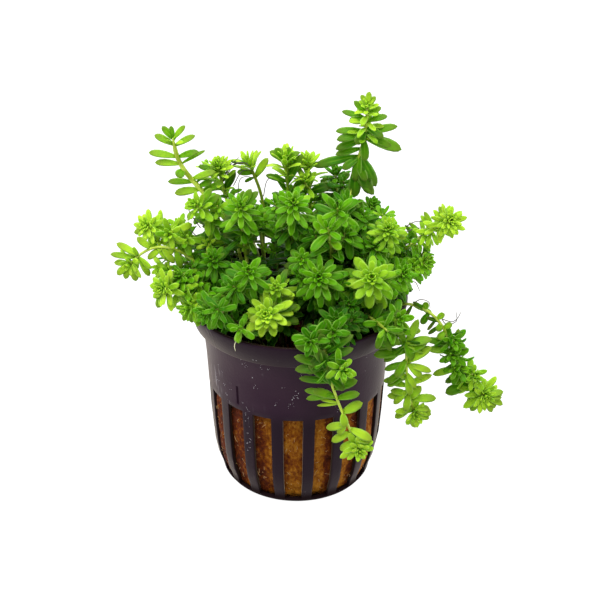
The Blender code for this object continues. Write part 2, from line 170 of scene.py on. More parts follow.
# Each stem's way above the plug, by points from below the leaves to its tip
SHOOTS = {
    "shoot_01": [(-20, 2, 73), (-24, 1, 79), (-28.5, 0, 84), (-29, 0, 91)],
    "shoot_02": [(-17, 6, 72), (-19, 5, 79), (-19, 4, 83)],
    "shoot_03": [(-8, 6, 72), (-10, 6, 78), (-12, 6, 83)],
    "shoot_04": [(-2, 4, 74), (-3, 4, 80), (-3, 4, 85)],
    "shoot_05": [(3, 6, 75), (3, 5, 81), (2, 5, 84)],
    "shoot_06": [(-19, -1, 67), (-21, -4, 74), (-24, -6, 77)],
    "shoot_07": [(-13, -6, 70), (-13, -9, 76), (-13, -11, 79)],
    "shoot_08": [(-1, -6, 71), (-1, -9, 76), (-1, -11, 80)],
    "shoot_09": [(-21, -1, 62), (-28, -3, 67), (-32, -4, 69), (-36, -5, 71)],
    "shoot_10": [(-24, -6, 62), (-31, -8, 68), (-36, -8, 67), (-40, -8, 62)],
    "shoot_11": [(-23, -5, 57), (-28, -5, 61), (-33, -5, 60)],
    "shoot_12": [(-22, -11, 55), (-28, -12, 58), (-32, -12, 58)],
    "shoot_13": [(-16, -16, 56), (-19, -20, 58), (-21, -22, 57)],
    "shoot_14": [(-19, -11, 55), (-24, -14, 57), (-26, -15, 54)],
    "shoot_15": [(-12, -19, 51), (-13, -22, 54), (-13, -26, 55)],
    "shoot_16": [(-10, -12, 55), (-11, -16, 61), (-11, -20, 67)],
    "shoot_17": [(-4, -12, 53), (-4, -17, 60), (-5, -20, 63)],
    "shoot_18": [(-4, -13, 52), (-6, -18, 57), (-7, -23, 57)],
    "shoot_19": [(6, -8, 53), (6, -14, 60), (5, -19, 65)],
    "shoot_20": [(3, -6, 58), (2, -12, 64), (1, -16, 68)],
    "shoot_21": [(17, -8, 53), (17, -14, 60), (17, -19, 65)],
    "shoot_22": [(21, -3, 60), (21, -7, 68), (21, -10, 73)],
    "shoot_23": [(10, -4, 66), (10, -8, 74), (9, -11, 78.5)],
    "shoot_24": [(8, -9, 63), (8, -13, 70), (7, -14, 75)],
    "shoot_25": [(9, 7, 68), (10, 9, 75), (9, 10, 79)],
    "shoot_26": [(12, 1, 71), (13, 3, 82), (16, 3, 90), (16, 3, 98.5)],
    "shoot_27": [(20, -2, 56), (26, -3, 65), (31, -3, 69), (36, -5, 73)],
    "shoot_28": [(22, -2, 53), (27, -5, 61), (31, -6, 63)],
    "shoot_29": [(20, -8, 54), (23, -10, 60), (25, -13, 63)],
    "shoot_30": [(15, -10, 51), (16, -16, 54), (21, -23, 53)],
    "shoot_31": [(9, -17, 48), (9, -23, 53), (9, -25, 57)],
    "shoot_32": [(-8, -1, 60), (-9, -4, 69), (-9, -5, 73)],
    "shoot_33": [(3, -4, 64), (2, -7, 71), (3, -9, 74)],
    "shoot_34": [(14, -2, 63), (15, -4, 70), (15, -6, 74)],
    "shoot_35": [(16, 2, 66), (17, 2, 70), (18, 2, 74)],
    "shoot_36": [(-18, -5, 56), (-19, -8, 62), (-20, -10, 65)],
    "shoot_37": [(-22, -7, 54), (-26, -9, 58), (-28, -11, 61)],
    "shoot_38": [(-14, -13, 52), (-15, -17, 58), (-16, -19, 61)],
    "shoot_39": [(13, -13, 49), (13, -17, 54), (12, -19, 58)],
    "shoot_40": [(18, -5, 58), (18, -8, 65), (18, -10, 69)],
    "shoot_41": [(-18, 9, 54), (-22, 11, 60), (-24, 13, 64)],
    "shoot_42": [(-12, 12, 54), (-15, 15, 60), (-16, 17, 63)],
    "shoot_43": [(-5, 13, 54), (-7, 17, 59), (-7, 19, 62)],
    "shoot_44": [(2, 14, 55), (3, 18, 61), (3, 20, 64)],
    "shoot_45": [(9, 12, 55), (11, 16, 62), (12, 18, 66)],
    "shoot_46": [(14, 9, 54), (18, 12, 59), (21, 13, 63)],
    "shoot_47": [(20, 4, 52), (25, 7, 58), (28, 8, 62)],
    "shoot_48": [(-21, 14, 53), (-27, 17, 57), (-31, 19, 56)],
    "shoot_49": [(-10, 19, 52), (-14, 25, 57), (-15, 29, 57)],
    "shoot_50": [(0, 20, 52), (-1, 26, 57), (-1, 30, 57)],
    "shoot_51": [(9, 19, 52), (12, 24, 57), (13, 28, 57)],
    "shoot_52": [(18, 14, 52), (23, 19, 57), (26, 22, 56)],
    "shoot_53": [(-20, 4, 52), (-28, 6, 56), (-33, 7, 57)],
    "shoot_54": [(-6, 6, 60), (-8, 8, 67), (-8, 9, 70)],
    "trailing_shoot_1": [(19, -7, 48), (23, -8, 53), (29, -9, 53), (34, -10, 50), (37, -10, 44),
                         (39, -10, 37), (42, -10, 31), (47, -10, 27)],
    "trailing_shoot_2": [(15, -11, 47), (20, -15, 53), (25, -18, 53), (26, -20, 46), (26, -19, 38),
                         (27, -19, 32), (29, -18, 27)],
    "trailing_shoot_3": [(5, -17, 46), (6, -23, 53), (6, -29, 54), (7, -30, 47), (9, -29, 39),
                         (12, -28, 31), (15, -28, 23)],
}

# How each shoot is leafed. leaf and width are its largest leaf's size, nodes the close pairs or
# whorls of its rosette, whorl the leaves at a node, leafy the length below the tip with leaves,
# pitch the spacing of its lower nodes, low the share of the leaf's size there, clear the length
# below the tip that only has single leaves, tone from 0 dark to 1 yellow-green, set lower also as
# painted shade for shoots deep in the bush, fade the tone lost for each mm below the rosette, for
# older leaves and as painted shade, spread the angle in degrees between the stem and an outer leaf,
# droop the share of gravity, light the way that its leaves turn their upper sides, face the way
# that its rosette turns, turn its first node's turn in degrees, stem the stem's radius, branches
# its side shoots and close the share that its rosette's nodes are apart.
Look = namedtuple("Look", "leaf width nodes whorl leafy pitch low clear tone fade spread "
                          "droop light face turn stem branches close")
UP = (0.0, 0.0, 0.5)
UP_FRONT = (0.0, -0.9, 0.5)
USUAL = Look(leaf=5.0, width=1.65, nodes=7, whorl=4, leafy=28.0, pitch=2.2, low=1.0, clear=0.0,
             tone=0.46, fade=0.055, spread=80.0, droop=0.12, light=(0.0, -0.3, 0.5),
             face=(0.0, -0.35, 0.0), turn=0.0, stem=0.5, branches=3, close=0.75)
PAIRED = USUAL._replace(whorl=2, turn=45.0, nodes=6)
BRIGHT = USUAL._replace(whorl=5, nodes=8, fade=0.06, face=(0.0, -0.5, 0.1), close=0.6)
LEFT = USUAL._replace(light=UP_FRONT, face=(-0.2, -1.4, 0.4), close=0.45)
BACK = USUAL._replace(light=UP, face=(0.0, 0.2, 0.2), tone=0.42)
UPRIGHT = USUAL._replace(spread=48.0, droop=-0.1, whorl=3, face=(0.0, -0.1, 0.0), branches=1)
LOOKS = {f"shoot_{number}": BACK for number in range(41, 54)}
LOOKS.update({
    "shoot_01": PAIRED._replace(leaf=2.4, width=1.1, nodes=3, leafy=0.0, tone=0.84, spread=42.0,
                                droop=0.0, stem=0.72, branches=0),
    "shoot_02": UPRIGHT._replace(leaf=4.6, width=1.4, tone=0.94, spread=60.0, whorl=4),
    "shoot_03": UPRIGHT._replace(leaf=5.2, width=1.5, nodes=6, leafy=4.0, tone=1.12, spread=46.0,
                                 branches=0),
    "shoot_04": UPRIGHT._replace(leaf=5.6, width=1.6, tone=1.0, leafy=18.0),
    "shoot_05": UPRIGHT._replace(leaf=4.4, width=1.4, tone=1.04, leafy=14.0),
    "shoot_06": USUAL._replace(leaf=4.8, tone=0.82, face=(-0.3, -0.5, 0.0)),
    "shoot_07": USUAL._replace(leaf=5.0, width=1.5, tone=0.68, spread=72.0),
    "shoot_08": USUAL._replace(leaf=5.2, width=1.7, tone=0.66, spread=74.0),
    "shoot_09": LEFT._replace(leaf=4.3, width=1.5, tone=1.0, whorl=5),
    "shoot_10": LEFT._replace(leaf=4.2, width=1.4, nodes=4, leafy=4.0, tone=0.98, stem=0.4,
                              branches=0),
    "shoot_11": LEFT._replace(leaf=3.8, width=1.2, nodes=4, whorl=3, leafy=12.0, tone=1.06, stem=0.4,
                              branches=1),
    "shoot_12": LEFT._replace(leaf=5.0, width=1.7, tone=0.88, whorl=5),
    "shoot_13": USUAL._replace(leaf=5.0, tone=0.5),
    "shoot_14": USUAL._replace(leaf=4.8, tone=0.76, face=(-0.3, -0.6, 0.0)),
    "shoot_15": PAIRED._replace(leaf=4.0, width=1.6, tone=0.6, leafy=6.0, branches=0),
    "shoot_16": USUAL._replace(leaf=5.4, width=1.7, tone=0.57),
    "shoot_17": USUAL._replace(leaf=3.2, width=1.3, nodes=5, tone=0.8, spread=62.0, leafy=6.0,
                               branches=0),
    "shoot_18": BRIGHT._replace(leaf=6.0, width=2.2, tone=0.94, face=(0.0, 0.0, 0.6)),
    "shoot_19": BRIGHT._replace(leaf=6.4, width=1.9, tone=0.58),
    "shoot_20": USUAL._replace(leaf=4.0, width=1.5, nodes=5, tone=0.56),
    "shoot_21": BRIGHT._replace(leaf=5.9, width=2.2, nodes=7, tone=0.8),
    "shoot_22": BRIGHT._replace(leaf=4.8, width=1.5, tone=0.82),
    "shoot_23": PAIRED._replace(leaf=6.2, width=2.1, nodes=7, tone=0.56),
    "shoot_24": PAIRED._replace(leaf=5.6, width=1.9, nodes=4, tone=0.62, spread=56.0),
    "shoot_25": USUAL._replace(leaf=4.4, width=1.6, tone=0.46),
    "shoot_26": USUAL._replace(leaf=3.8, width=1.5, nodes=6, leafy=9.0, tone=0.96, spread=70.0,
                               pitch=1.5, whorl=3, face=(0.0, -0.5, 0.0), branches=0),
    "shoot_27": USUAL._replace(leaf=4.7, width=1.45, whorl=6, leafy=17.0, pitch=2.0, low=0.8,
                               tone=1.0, light=UP_FRONT, face=(-0.2, -1.8, 0.5), branches=0,
                               close=0.4),
    "shoot_28": USUAL._replace(leaf=4.1, tone=0.7),
    "shoot_29": USUAL._replace(leaf=4.9, tone=0.6),
    "shoot_30": PAIRED._replace(leaf=4.4, width=1.5, nodes=3, tone=0.6, leafy=4.0, branches=0),
    "shoot_31": USUAL._replace(leaf=5.2, tone=0.22, spread=66.0, branches=2),
    "shoot_32": USUAL._replace(leaf=5.2, tone=0.62, leafy=14.0, branches=1),
    "shoot_35": USUAL._replace(leaf=3.8, tone=0.5),
    "shoot_37": USUAL._replace(tone=0.62),
    "shoot_38": USUAL._replace(tone=0.5),
    "shoot_39": USUAL._replace(leaf=4.4, tone=0.24),
    "shoot_54": USUAL._replace(leafy=14.0, branches=1),
    "trailing_shoot_1": USUAL._replace(leaf=5.5, width=1.8, nodes=6, whorl=5, leafy=21.0, pitch=1.9,
                                       low=0.72, tone=0.93, fade=0.04, branches=0, light=UP_FRONT,
                                       face=(0.2, -1.8, 0.8), stem=0.42, close=0.45),
    "trailing_shoot_2": USUAL._replace(leaf=4.4, width=1.6, nodes=5, whorl=4, leafy=34.0, pitch=2.6,
                                       clear=19.0, tone=0.9, spread=74.0, droop=0.0, branches=0,
                                       light=UP_FRONT, face=(0.1, -1.8, 0.9), stem=0.42, close=0.45),
    "trailing_shoot_3": USUAL._replace(leaf=4.3, width=1.6, nodes=6, whorl=4, leafy=44.0, pitch=2.4,
                                       low=1.1, clear=23.0, tone=0.93, fade=0.022, spread=74.0,
                                       droop=0.0, branches=0, light=UP_FRONT, stem=0.42,
                                       face=(-0.1, -1.8, 0.9), close=0.45),
})

# Single leaves that stand out: (distance, x, y, z, width, tone), where distance is how far below the
# stem's tip the leaf starts, and x, y and z are the way from there to its end.
LONE_LEAVES = {
    "shoot_01": [
        (0.3, -2.5, 0, 3, 1.5, 0.73), (0.3, 3, 0, 3.2, 1.4, 0.83), (0.2, -0.4, 0.3, 3, 1.2, 0.63),
        (1.8, -4.7, 0.4, 2.2, 1.7, 0.83), (2, 5, 0.4, 2.2, 1.6, 0.88), (4.9, -7, 0.5, 0.6, 1.8, 0.88),
        (4.9, 5, -0.6, 1.4, 1.7, 0.73), (6.8, -6.1, -0.4, 0.2, 1.7, 0.93), (6.8, 6, 0.6, 2.9, 1, 0.78),
        (8.4, -1.4, -1.8, -1.2, 2.2, 0.73), (11.5, 5.8, -0.6, 1.9, 1.8, 0.88),
        (12.5, -6.4, 0.4, -0.6, 1.6, 0.78), (13, 4.6, 0.6, 4.2, 1.1, 0.68), (15, -6.2, -1, -1, 2, 0.93),
        (15.5, 5.4, -0.6, 1.8, 1.9, 0.74), (14, 3.4, -0.8, 1.4, 1.6, 0.7)],
    "shoot_02": [(8, 2.8, -0.6, 5.3, 2, 0.12), (2, -5, -0.5, 1, 1.5, 0.6)],
    "shoot_03": [
        (4.6, 3.1, -0.6, 5, 1.9, 0.98), (0.8, -4.6, 0, 0.4, 1.2, 0.73), (3.4, -3.9, -0.6, 0.2, 1.6, 0.63),
        (4.5, -2.6, 0.4, -1.6, 0.9, 0.53)],
    "shoot_04": [
        (10, -3.6, -0.5, -2, 1.9, 0.32), (1.5, -2.6, -0.5, 3.6, 2.2, 0.7), (0.5, 1, -0.3, 2.8, 1.6, 0.7),
        (7, 3.4, -1, 7.6, 2, 0.6), (6.5, -5.2, -0.5, 1.6, 1.5, 0.5), (1, -3.8, -0.3, 2.2, 1.8, 0.75),
        (10.5, 4.2, -1, 4.8, 1.9, 0.5), (1, 3.4, 0, 2, 1.4, 0.75)],
    "shoot_05": [
        (2, 3.4, 0, 0.6, 1.3, 0.8), (8, -5, -2, -4, 2, 0.45), (10, -6, -1, -3, 2.2, 0.3),
        (9, 5.2, -0.5, 1.8, 2.6, 0.3)],
    "shoot_06": [(1.5, 3.4, 0, 4.6, 1.8, 0.75), (2.5, 4.6, 0, 3.4, 1.8, 0.7)],
    "shoot_07": [
        (1.5, 2.4, 0, 4.8, 1.8, 0.6), (1.5, 4, 0, 4.2, 1.8, 0.55), (2.5, 0.6, 0, 5, 1.7, 0.6),
        (10, -5, 0.6, -1, 2.6, 0.25), (13, -4.5, 0.5, 3, 2.4, 0.22), (7, -4.5, 0.5, 0.5, 2.4, 0.3)],
    "shoot_09": [
        (8.5, 3.5, -1, -7, 2.1, 0.95), (3, -3.8, -0.8, 0.2, 1.6, 1), (2, -4.4, -1, -1, 1.5, 0.95),
        (5, 3.4, -0.8, 1.8, 1.6, 0.9), (7, -0.6, -1.4, -4.6, 1.8, 0.9), (10, -1, -1.4, -4, 1.7, 0.8)],
    "shoot_10": [
        (0.3, -3.6, -0.4, 0.4, 1.4, 1.01), (0.3, -3, -0.8, -2.6, 1.7, 0.96),
        (0.4, -1.1, -1, -3.6, 1.5, 0.91), (1.2, 0.7, -0.6, -5, 1.8, 1.01),
        (3.6, -5.2, -0.2, 3, 1.7, 1.06), (2.6, -6, -0.5, 0.8, 1.5, 0.91),
        (3.4, 2.4, -0.8, -5.2, 1.6, 0.96), (7, -3, -0.6, 3, 1.7, 1.01), (9.5, 3, -1, -4, 1.6, 0.96),
        (13, 1.2, -1, -4.8, 1.7, 0.81), (8.5, 3, -0.8, -3.4, 1.7, 0.91), (10, -3.6, -1, -3, 1.6, 0.96)],
    "shoot_12": [(1, -2, -1, -4.8, 1.9, 0.8), (1.5, 1.4, 0, 4.6, 1.7, 0.7)],
    "shoot_14": [
        (1, 0.4, -1, -4, 1.4, 0.75), (1.5, 2.4, -1, -4.4, 1.4, 0.7), (1, -1.6, -1, -3.4, 1.3, 0.8),
        (2.5, 3.6, -1, -3.6, 1.4, 0.7)],
    "shoot_17": [(3, 2.4, 2, 4.6, 1.6, 0.5)],
    "shoot_18": [
        (1.5, -0.8, -1, -4.2, 1.2, 1.15), (1.5, 1.6, -1, -3.4, 1.3, 1.15), (1.2, 4.2, -1, -2.6, 1.3, 1.1),
        (3, 6.5, -0.5, 1.2, 1.6, 0.6), (3.5, 6.6, -1, -3, 1.7, 0.5)],
    "shoot_20": [(4, -4.6, -0.5, -3, 1.7, 0.42), (6, -5.2, 0.5, -0.5, 1.7, 0.36)],
    "shoot_25": [
        (3, 3.4, -0.5, 2.4, 1.8, 0.45), (6.5, 3, -1, 3.2, 1.8, 0.4), (5, -3.2, -0.8, 3.4, 1.8, 0.45),
        (9, -1, -1.5, 4.2, 2, 0.4), (12, -3.5, -1, -2.5, 2, 0.35), (12.5, 2.2, -1.2, -2.8, 2, 0.35),
        (4, -4, 0, 1.5, 1.6, 0.4), (6, -5.2, -0.5, -1, 1.8, 0.4), (8, -6.4, -0.5, 1, 2, 0.32),
        (8.5, 4, -1, -2, 1.8, 0.35), (10.5, -5.6, -1, -1, 2, 0.3), (11, 4.6, -1, 2, 1.8, 0.4)],
    "shoot_26": [
        (13, -10.8, 1, -3.8, 2.3, 0.41), (12.5, -1, -2, -6.3, 2.2, 0.61), (8.5, 0.3, -2, -5, 2, 0.56),
        (16, -0.2, -1.5, -7.2, 2.8, 0.36), (17.5, 4.9, -1, -5.2, 2.2, 0.56),
        (8.2, 8.6, -1, -3.4, 3, 0.66), (15, 3.4, -1.2, -7.4, 3, 0.46), (7.5, 6.4, -1.5, -2.9, 2, 0.61),
        (7.3, 7.8, 0.3, 1.6, 2, 0.71), (5.6, 3.9, -2, -2.1, 1.9, 0.56), (6.4, -2.1, -2, -2.9, 2.2, 0.51),
        (8.8, -6.5, -1, -2.4, 1.9, 0.46), (7.4, -6.5, -1.5, -1.3, 2, 0.56),
        (6.6, -7, -0.5, -0.3, 1.7, 0.66), (11, -6, -0.5, -1.9, 1.7, 0.56), (4.2, -4, -1.5, 0.6, 2, 0.71),
        (3.6, -6, 0.5, 1.2, 1.5, 0.61), (2.6, -3.3, 0.4, 3, 1.5, 0.66), (4.2, 4.9, 0, 1.1, 1.7, 0.71),
        (2.6, 3.3, 0, 1.6, 1.6, 0.81), (13.5, -3.6, -1.6, -2.4, 1.9, 0.51),
        (14.5, 2, -1.6, -4.4, 2, 0.56), (0.3, 0.3, 0, 3.2, 1.4, 0.96), (0.5, -1.6, 0, 2.6, 1.3, 0.91),
        (0.5, 1.9, 0, 2.2, 1.3, 0.91), (12.5, 4.4, -1, -8.4, 2.4, 0.45)],
    "shoot_27": [
        (5, -2.4, 0.4, 4.2, 1.2, 0.9), (8, -3.6, 0.4, 3, 1, 0.8), (0.8, -2.4, 0, 3.6, 1.5, 0.95),
        (10, -3, 0.4, 3.6, 0.9, 0.5)],
    "shoot_30": [
        (8.5, 5.2, -6.5, -5.8, 2, 0.5), (9.5, 5.5, -4, -3, 1.8, 0.5), (7, 6.8, -3, -0.6, 1.8, 0.45),
        (4, 2.8, -3.5, -5.6, 1.9, 0.45), (3, 4.4, -2, -4.6, 1.8, 0.6), (6, 6.4, -1, 2.2, 1.7, 0.5),
        (1.5, -1.6, -2, -4.6, 1.6, 0.6), (2, 4.8, -1, -1.5, 1.7, 0.6), (5.5, 1.6, -0.8, 4.6, 1.7, 0.45),
        (7.5, 2.4, -2, 4, 1.7, 0.4)],
    "shoot_34": [(1, -0.6, 0, 5.2, 1.8, 0.45), (1, -2.8, 0, 4.4, 1.8, 0.4)],
    "trailing_shoot_1": [
        (5.5, -5.9, -1, -3, 2.6, 0.5), (9, -4.2, -1, -2.5, 1.6, 0.3), (0.2, 4.6, -1, -2.4, 1.8, 0.95),
        (0.3, 2, -1.4, -4.2, 1.8, 0.95), (0.6, -2.8, -1.2, -4.4, 1.8, 0.85),
        (0.2, 4.6, -0.8, 1.4, 1.8, 0.9), (33, 3.4, 0, -1.6, 1.5, 0.7), (31, 3, 0, -2.2, 1.3, 0.6),
        (1.2, -3.5, -1.2, -3.8, 1.8, 0.9), (0.6, -1, -1.5, -3.7, 1.8, 0.95),
        (0.2, 3, -1.2, -2.7, 1.7, 0.95), (0.2, 4.2, -1, -0.3, 1.7, 0.95),
        (11, -6.4, -0.8, -2.3, 1.8, 0.95), (18, -6.2, -0.3, 1, 1.7, 0.6),
        (16, -6.2, -0.8, 0.5, 1.9, 0.85), (15.5, 0.8, -0.8, 6.6, 1.5, 0.8),
        (28.5, -1.7, -0.5, -3.2, 1.6, 0.4), (33, -1.5, -0.5, -3.1, 0.9, 0), (26, -2, -0.5, -3.1, 0.8, 0),
        (29.5, -3.4, 0, 2, 0.9, 0.3), (25, -3.2, -0.5, 1.2, 1, 0.1), (24, -3, -0.5, -2.6, 1, 0.1),
        (30, 0.6, -1, 2.2, 1.6, 0.8), (24.5, -0.5, -1, -1.8, 1.6, 0.8), (23, 2, -0.8, 1.4, 1.6, 0.85),
        (22, -1.6, -1.2, -1.8, 1.7, 0.8), (26, 1.8, -0.6, 1.6, 1.5, 0.85)],
    "trailing_shoot_2": [
        (2, 3.9, -1, 0, 1.8, 1), (0.8, 3.4, -1.5, -1.4, 1.8, 1), (0.3, 0, -1.8, -3.2, 2.3, 1.05),
        (2.5, -4.1, -1, -3.1, 1.8, 0.95), (5, 6.2, -1, 0.4, 2.1, 0.9), (5, 2.2, -1.5, 4.1, 2, 0.95),
        (5.8, -5.4, -0.8, 0.2, 1.8, 0.95), (11.3, -5.6, -1, -0.6, 1.6, 0.8),
        (9.5, 5.8, -1, 2.8, 1.7, 1.1), (15.5, 5.8, -1, -2, 1.7, 1), (16, 5.7, -1.5, 4.6, 2.2, 0.95),
        (19, -7.6, -1, -1.2, 2.3, 0.7), (16, -5.1, -1, -2, 1.6, 0.7), (22, -6.4, -1, -2.3, 1.8, 0.6),
        (20, -2.9, -1.5, 8, 1.8, 0.75), (20.3, 2.4, -1.5, 7.4, 1.9, 0.85), (24, 4.3, -1, 0.5, 1.8, 0.85),
        (11, -2.6, -1.4, 2.8, 1.6, 0.9), (13, 2, -1.8, -3.4, 1.6, 0.95), (8, -3.2, -1.4, -3.6, 1.6, 0.9),
        (22, 1.8, -2, -4.6, 2, 0.7), (17, -2.4, -1.8, -4.4, 1.9, 0.75), (16, 3.6, -1.8, -3.6, 1.8, 0.9),
        (20.5, -4.8, -1.4, -4, 1.9, 0.6), (12.5, 0.9, -2, -4.8, 1.8, 0.9), (7, -0.6, -2, -4.4, 1.8, 0.9),
        (18.5, 4.6, -1.5, 3.6, 1.9, 0.75), (14, -4.6, -1.4, -3.4, 1.7, 0.65),
        (21, -5.2, -1.4, 1.6, 1.8, 0.6), (9, -4.4, -1.2, 1.6, 1.6, 0.85),
        (12.5, -4.4, -1.2, -3, 1.7, 0.68), (6.5, -4.6, -1, 1.2, 1.7, 0.85),
        (1.5, 4.2, -1.2, -1, 1.8, 0.95), (21, 6, -1.4, 1.6, 2.1, 0.8), (21, 5.4, -1.4, -2, 2, 0.85)],
    "trailing_shoot_3": [
        (3, -3.4, -1, -2.2, 1.9, 1), (4, 4, -1, -0.6, 2, 1), (5.8, -4.5, -1, -2.4, 1.9, 1),
        (7, 5.2, -1.2, -3, 2.2, 1.05), (8.2, -5, -1, -0.8, 1.9, 1), (9.5, -1.6, -1.2, -3.6, 1.7, 0.95),
        (12, 4.6, -1.5, 3.2, 2.3, 0.95), (12, 0.6, -1.2, -3.6, 1.9, 0.95),
        (15, -4.3, -1.5, 1.6, 0.8, 1.2), (14.8, -5, -1.5, 0, 0.8, 1.2), (16.5, 5.2, -1, 1.6, 1.9, 0.75),
        (16.8, -5.4, -1.2, 2.2, 2, 0.75), (17.4, -7.2, -0.8, 1.4, 1.6, 0.7),
        (17.8, -6.6, -1.6, -0.8, 1.5, 0.65), (19.5, 5.4, -1.2, 2.6, 2.2, 0.55),
        (20.5, -1.2, -1.6, 5.6, 2.2, 0.4), (21, -5.6, -1.4, 6, 2.2, 0.4), (21.5, -7.4, -1, 1, 1.6, 0.45),
        (24.5, -2.4, -2, 6.4, 2.2, 0.32), (25.5, -7.4, -1.4, -0.2, 2.1, 0.45),
        (26, -7.6, -1, 2.4, 2, 0.5), (28, -7, -1, 3.4, 1.8, 0.45), (27.5, 6, -1, 3.2, 1.9, 0.4),
        (29, 6.2, -1, 5, 1.9, 0.4), (27, -4.4, -1.6, -2.4, 1.8, 0.4), (26, 4, -1.6, -1.2, 1.9, 0.4),
        (23, 3.2, -1.8, -2.6, 1.9, 0.4), (29, -3.4, -2, -2.6, 1.9, 0.35), (31, 2, -2.4, 4, 1.9, 0.4),
        (30, -1, -2.6, 5, 1.9, 0.35)],
}

# Side shoots that stand out: (distance, x, y, z, leaf, tone), with the way to their own tip and the
# length of their leaves.
SIDE_SHOOTS = {
    "shoot_09": [(5, 1.6, -3.4, 1, 5, 0.84), (10, 0.5, -3.2, 1.6, 5, 0.78)],
    "shoot_28": [(3, 2, -1.6, 1.2, 3.8, 0.7), (6, 1, -3.4, 2.6, 4.4, 0.68)],
    "trailing_shoot_1": [
        (10, -1.6, -2, 1.4, 4.4, 0.62), (14, -1, -2, 2, 4.4, 0.58), (7, 1.8, -1.6, 2.2, 4.2, 0.8),
        (18, 0.6, -1.6, 2, 4, 0.56)],
    "trailing_shoot_2": [(24, -3, -2, 1.6, 4.6, 0.66), (28, 2, -3, 2, 4.6, 0.62)],
    "trailing_shoot_3": [
        (25, 3.8, -2, 0.8, 4.2, 0.74), (31, -3.4, -2.6, 2.2, 4.8, 0.45), (33, 2.2, -3, 3.4, 4.8, 0.42)],
}

# Thin strands that leave the stems, each by its points: white roots and dark, wilted threads.
PALE_STRANDS = [
    [(-13.4, -25.5, 52.5), (-14.2, -26, 50.8), (-14, -25.8, 49.2)],
]
DARK_STRANDS = [
    [(34.7, -10, 49.1), (37.3, -10, 48.3), (38.6, -10, 49.2), (39.3, -10, 50.9)],
    [(34.4, -10, 50), (36, -10, 47.6), (38.4, -10, 48.4), (38.2, -10, 51)],
    [(28, -9, 52.8), (29.5, -9.4, 54), (31.5, -9.4, 53.4), (32, -9.2, 51.6)],
    [(-17.5, 5, 79), (-15, 5, 82.5), (-11.5, 5, 82.8)],
    [(-18, 5, 78), (-16.5, 4.6, 82), (-14, 4.5, 84.5)],
    [(-15.5, 5, 77), (-13.5, 5.2, 80.5), (-11, 5.4, 81)],
    [(-23, -4, 66.5), (-25, -4.2, 69), (-27.5, -4.4, 71)],
    [(-23, -4, 70), (-25, -4.4, 73.5), (-26, -4.6, 76)],
    [(-21.5, -5, 70), (-23, -5.4, 72.5), (-25.5, -5.6, 73.6)],
    [(-8.3, 5, 74.3), (-7.4, 5, 78.4), (-5.3, 5, 79.4), (-3.3, 5, 78)],
    [(-14.5, 5, 74.3), (-14, 5, 78.4), (-12.4, 5, 79.4), (-10.7, 5, 79)],
    [(-17.9, 5, 78.9), (-15.5, 5, 82.4), (-12.6, 5, 82.9), (-10.7, 5, 80.4)],
    [(25, -3, 69.5), (27.5, -3, 71.4), (30.5, -3, 71.6)],
    [(24.5, -3, 68), (28, -3, 69.8), (31, -3, 69.6)],
    [(26, -9, 58.4), (28, -9.2, 58.6), (29.2, -9.4, 56.4)],
]
STRAND_RADIUS = 0.13
STRAND_SPACING = 0.5

# Openings through the bush, where one sees past it from the front: a place in the middle and the
# radius. Each runs along the line from GAP_VIEW through its place. A leaf is left out where one of
# the tested shares of its length lies in an opening.
GAP_VIEW = Vector((0.7, -263.0, 192.6))
GAPS = [((-8.5, 0.0, 64.4), 2.0), ((-7.4, 0.0, 62.4), 1.8), ((-13.4, 0.0, 61.0), 1.0),
        ((-23.8, 0.0, 67.9), 1.3), ((-28.6, 0.0, 59.9), 2.0), ((-33.8, 0.0, 61.8), 1.5)]
GAP_TESTS = (0.15, 0.45, 0.75, 1.0)

# Half width of a leaf along its length, as shares: (place, half width)
LEAF_OUTLINE = [(0.0, 0.32), (0.2, 0.66), (0.42, 0.93), (0.64, 1.0), (0.83, 0.86), (0.95, 0.56),
                (1.0, 0.22)]
LEAF_THICKNESS = 0.26
TIP_ROUNDING = 0.03
STEM_SLOT = 1

# The seeded rule for the leaves of a node. The four shares are of the look's own values, and a draw
# is a mean and a deviation. Angles are in radians, tones and tints from 0 to 1.
SHOOT_SEED = 100
LENGTH_RANGE = (0.86, 1.16)
WIDTH_RANGE = (0.94, 1.18)
SPREAD_RANGE = (0.88, 1.1)
DROOP_RANGE = (0.3, 1.6)
FOLD_RANGE = (0.05, 0.4)
NODE_TURN_DRAW = (0.0, 0.12)
LEAF_TURN_DRAW = (0.0, 0.1)
CURL_DRAW = (0.4, 0.3)
TWIST_DRAW = (0.0, 0.22)
TONE_DRAW = (0.0, 0.06)
TINT_DRAW = (0.12, 0.2)
BUD_CURL = 0.25
DARKEST = 0.04

# Leaves lose tone from ROSETTE_DEPTH below the tip, for older leaves and as painted shade deeper in
# the bush, and stop turning their face over the depths of FACE_FADE, from all of it to none. Inside
# the pot's rim there are no leaves below BARE_BELOW.
ROSETTE_DEPTH = 4.0
FACE_FADE = [(4.5, 8.0), (1.0, 0.0)]
BARE_BELOW = 47.0

# A leaf that starts no deeper than INSIDE_RIM inside the rim is turned outwards where it would end
# in the pot's wall, to stay LEAF_CLEAR off it.
INSIDE_RIM = 4.0
LEAF_CLEAR = 1.2
LEAF_TURN_OUT = 1.3

# Tufts of small bud leaves beside some leaves: how often, how many, their two angles to the way out
# in degrees, and their length as a share of the look's leaf
TUFT_CHANCE = 0.12
TUFT_LEAVES = 4
TUFT_ANGLES = (60.0, 38.0)
TUFT_LENGTH = (0.3, 0.52)

# Side shoots: their spacing down the stem, how far it varies, their reach and their path's spacing.
# A stem has its full tone from STEM_RIPENS above its root.
BRANCH_PITCH = 5.5
BRANCH_SHIFT = 3.0
BRANCH_REACH = (3.5, 6.0)
SIDE_SPACING = 0.9
STEM_RIPENS = 26.0

# What is done to every single leaf of the table: a wider blade, a darker tone, the range of its
# curl, and the share of its length by which it starts off higher
LONE_WIDER = 1.08
LONE_DARKER = 0.06
LONE_CURL = (0.15, 0.4)
LONE_RISE = 0.12

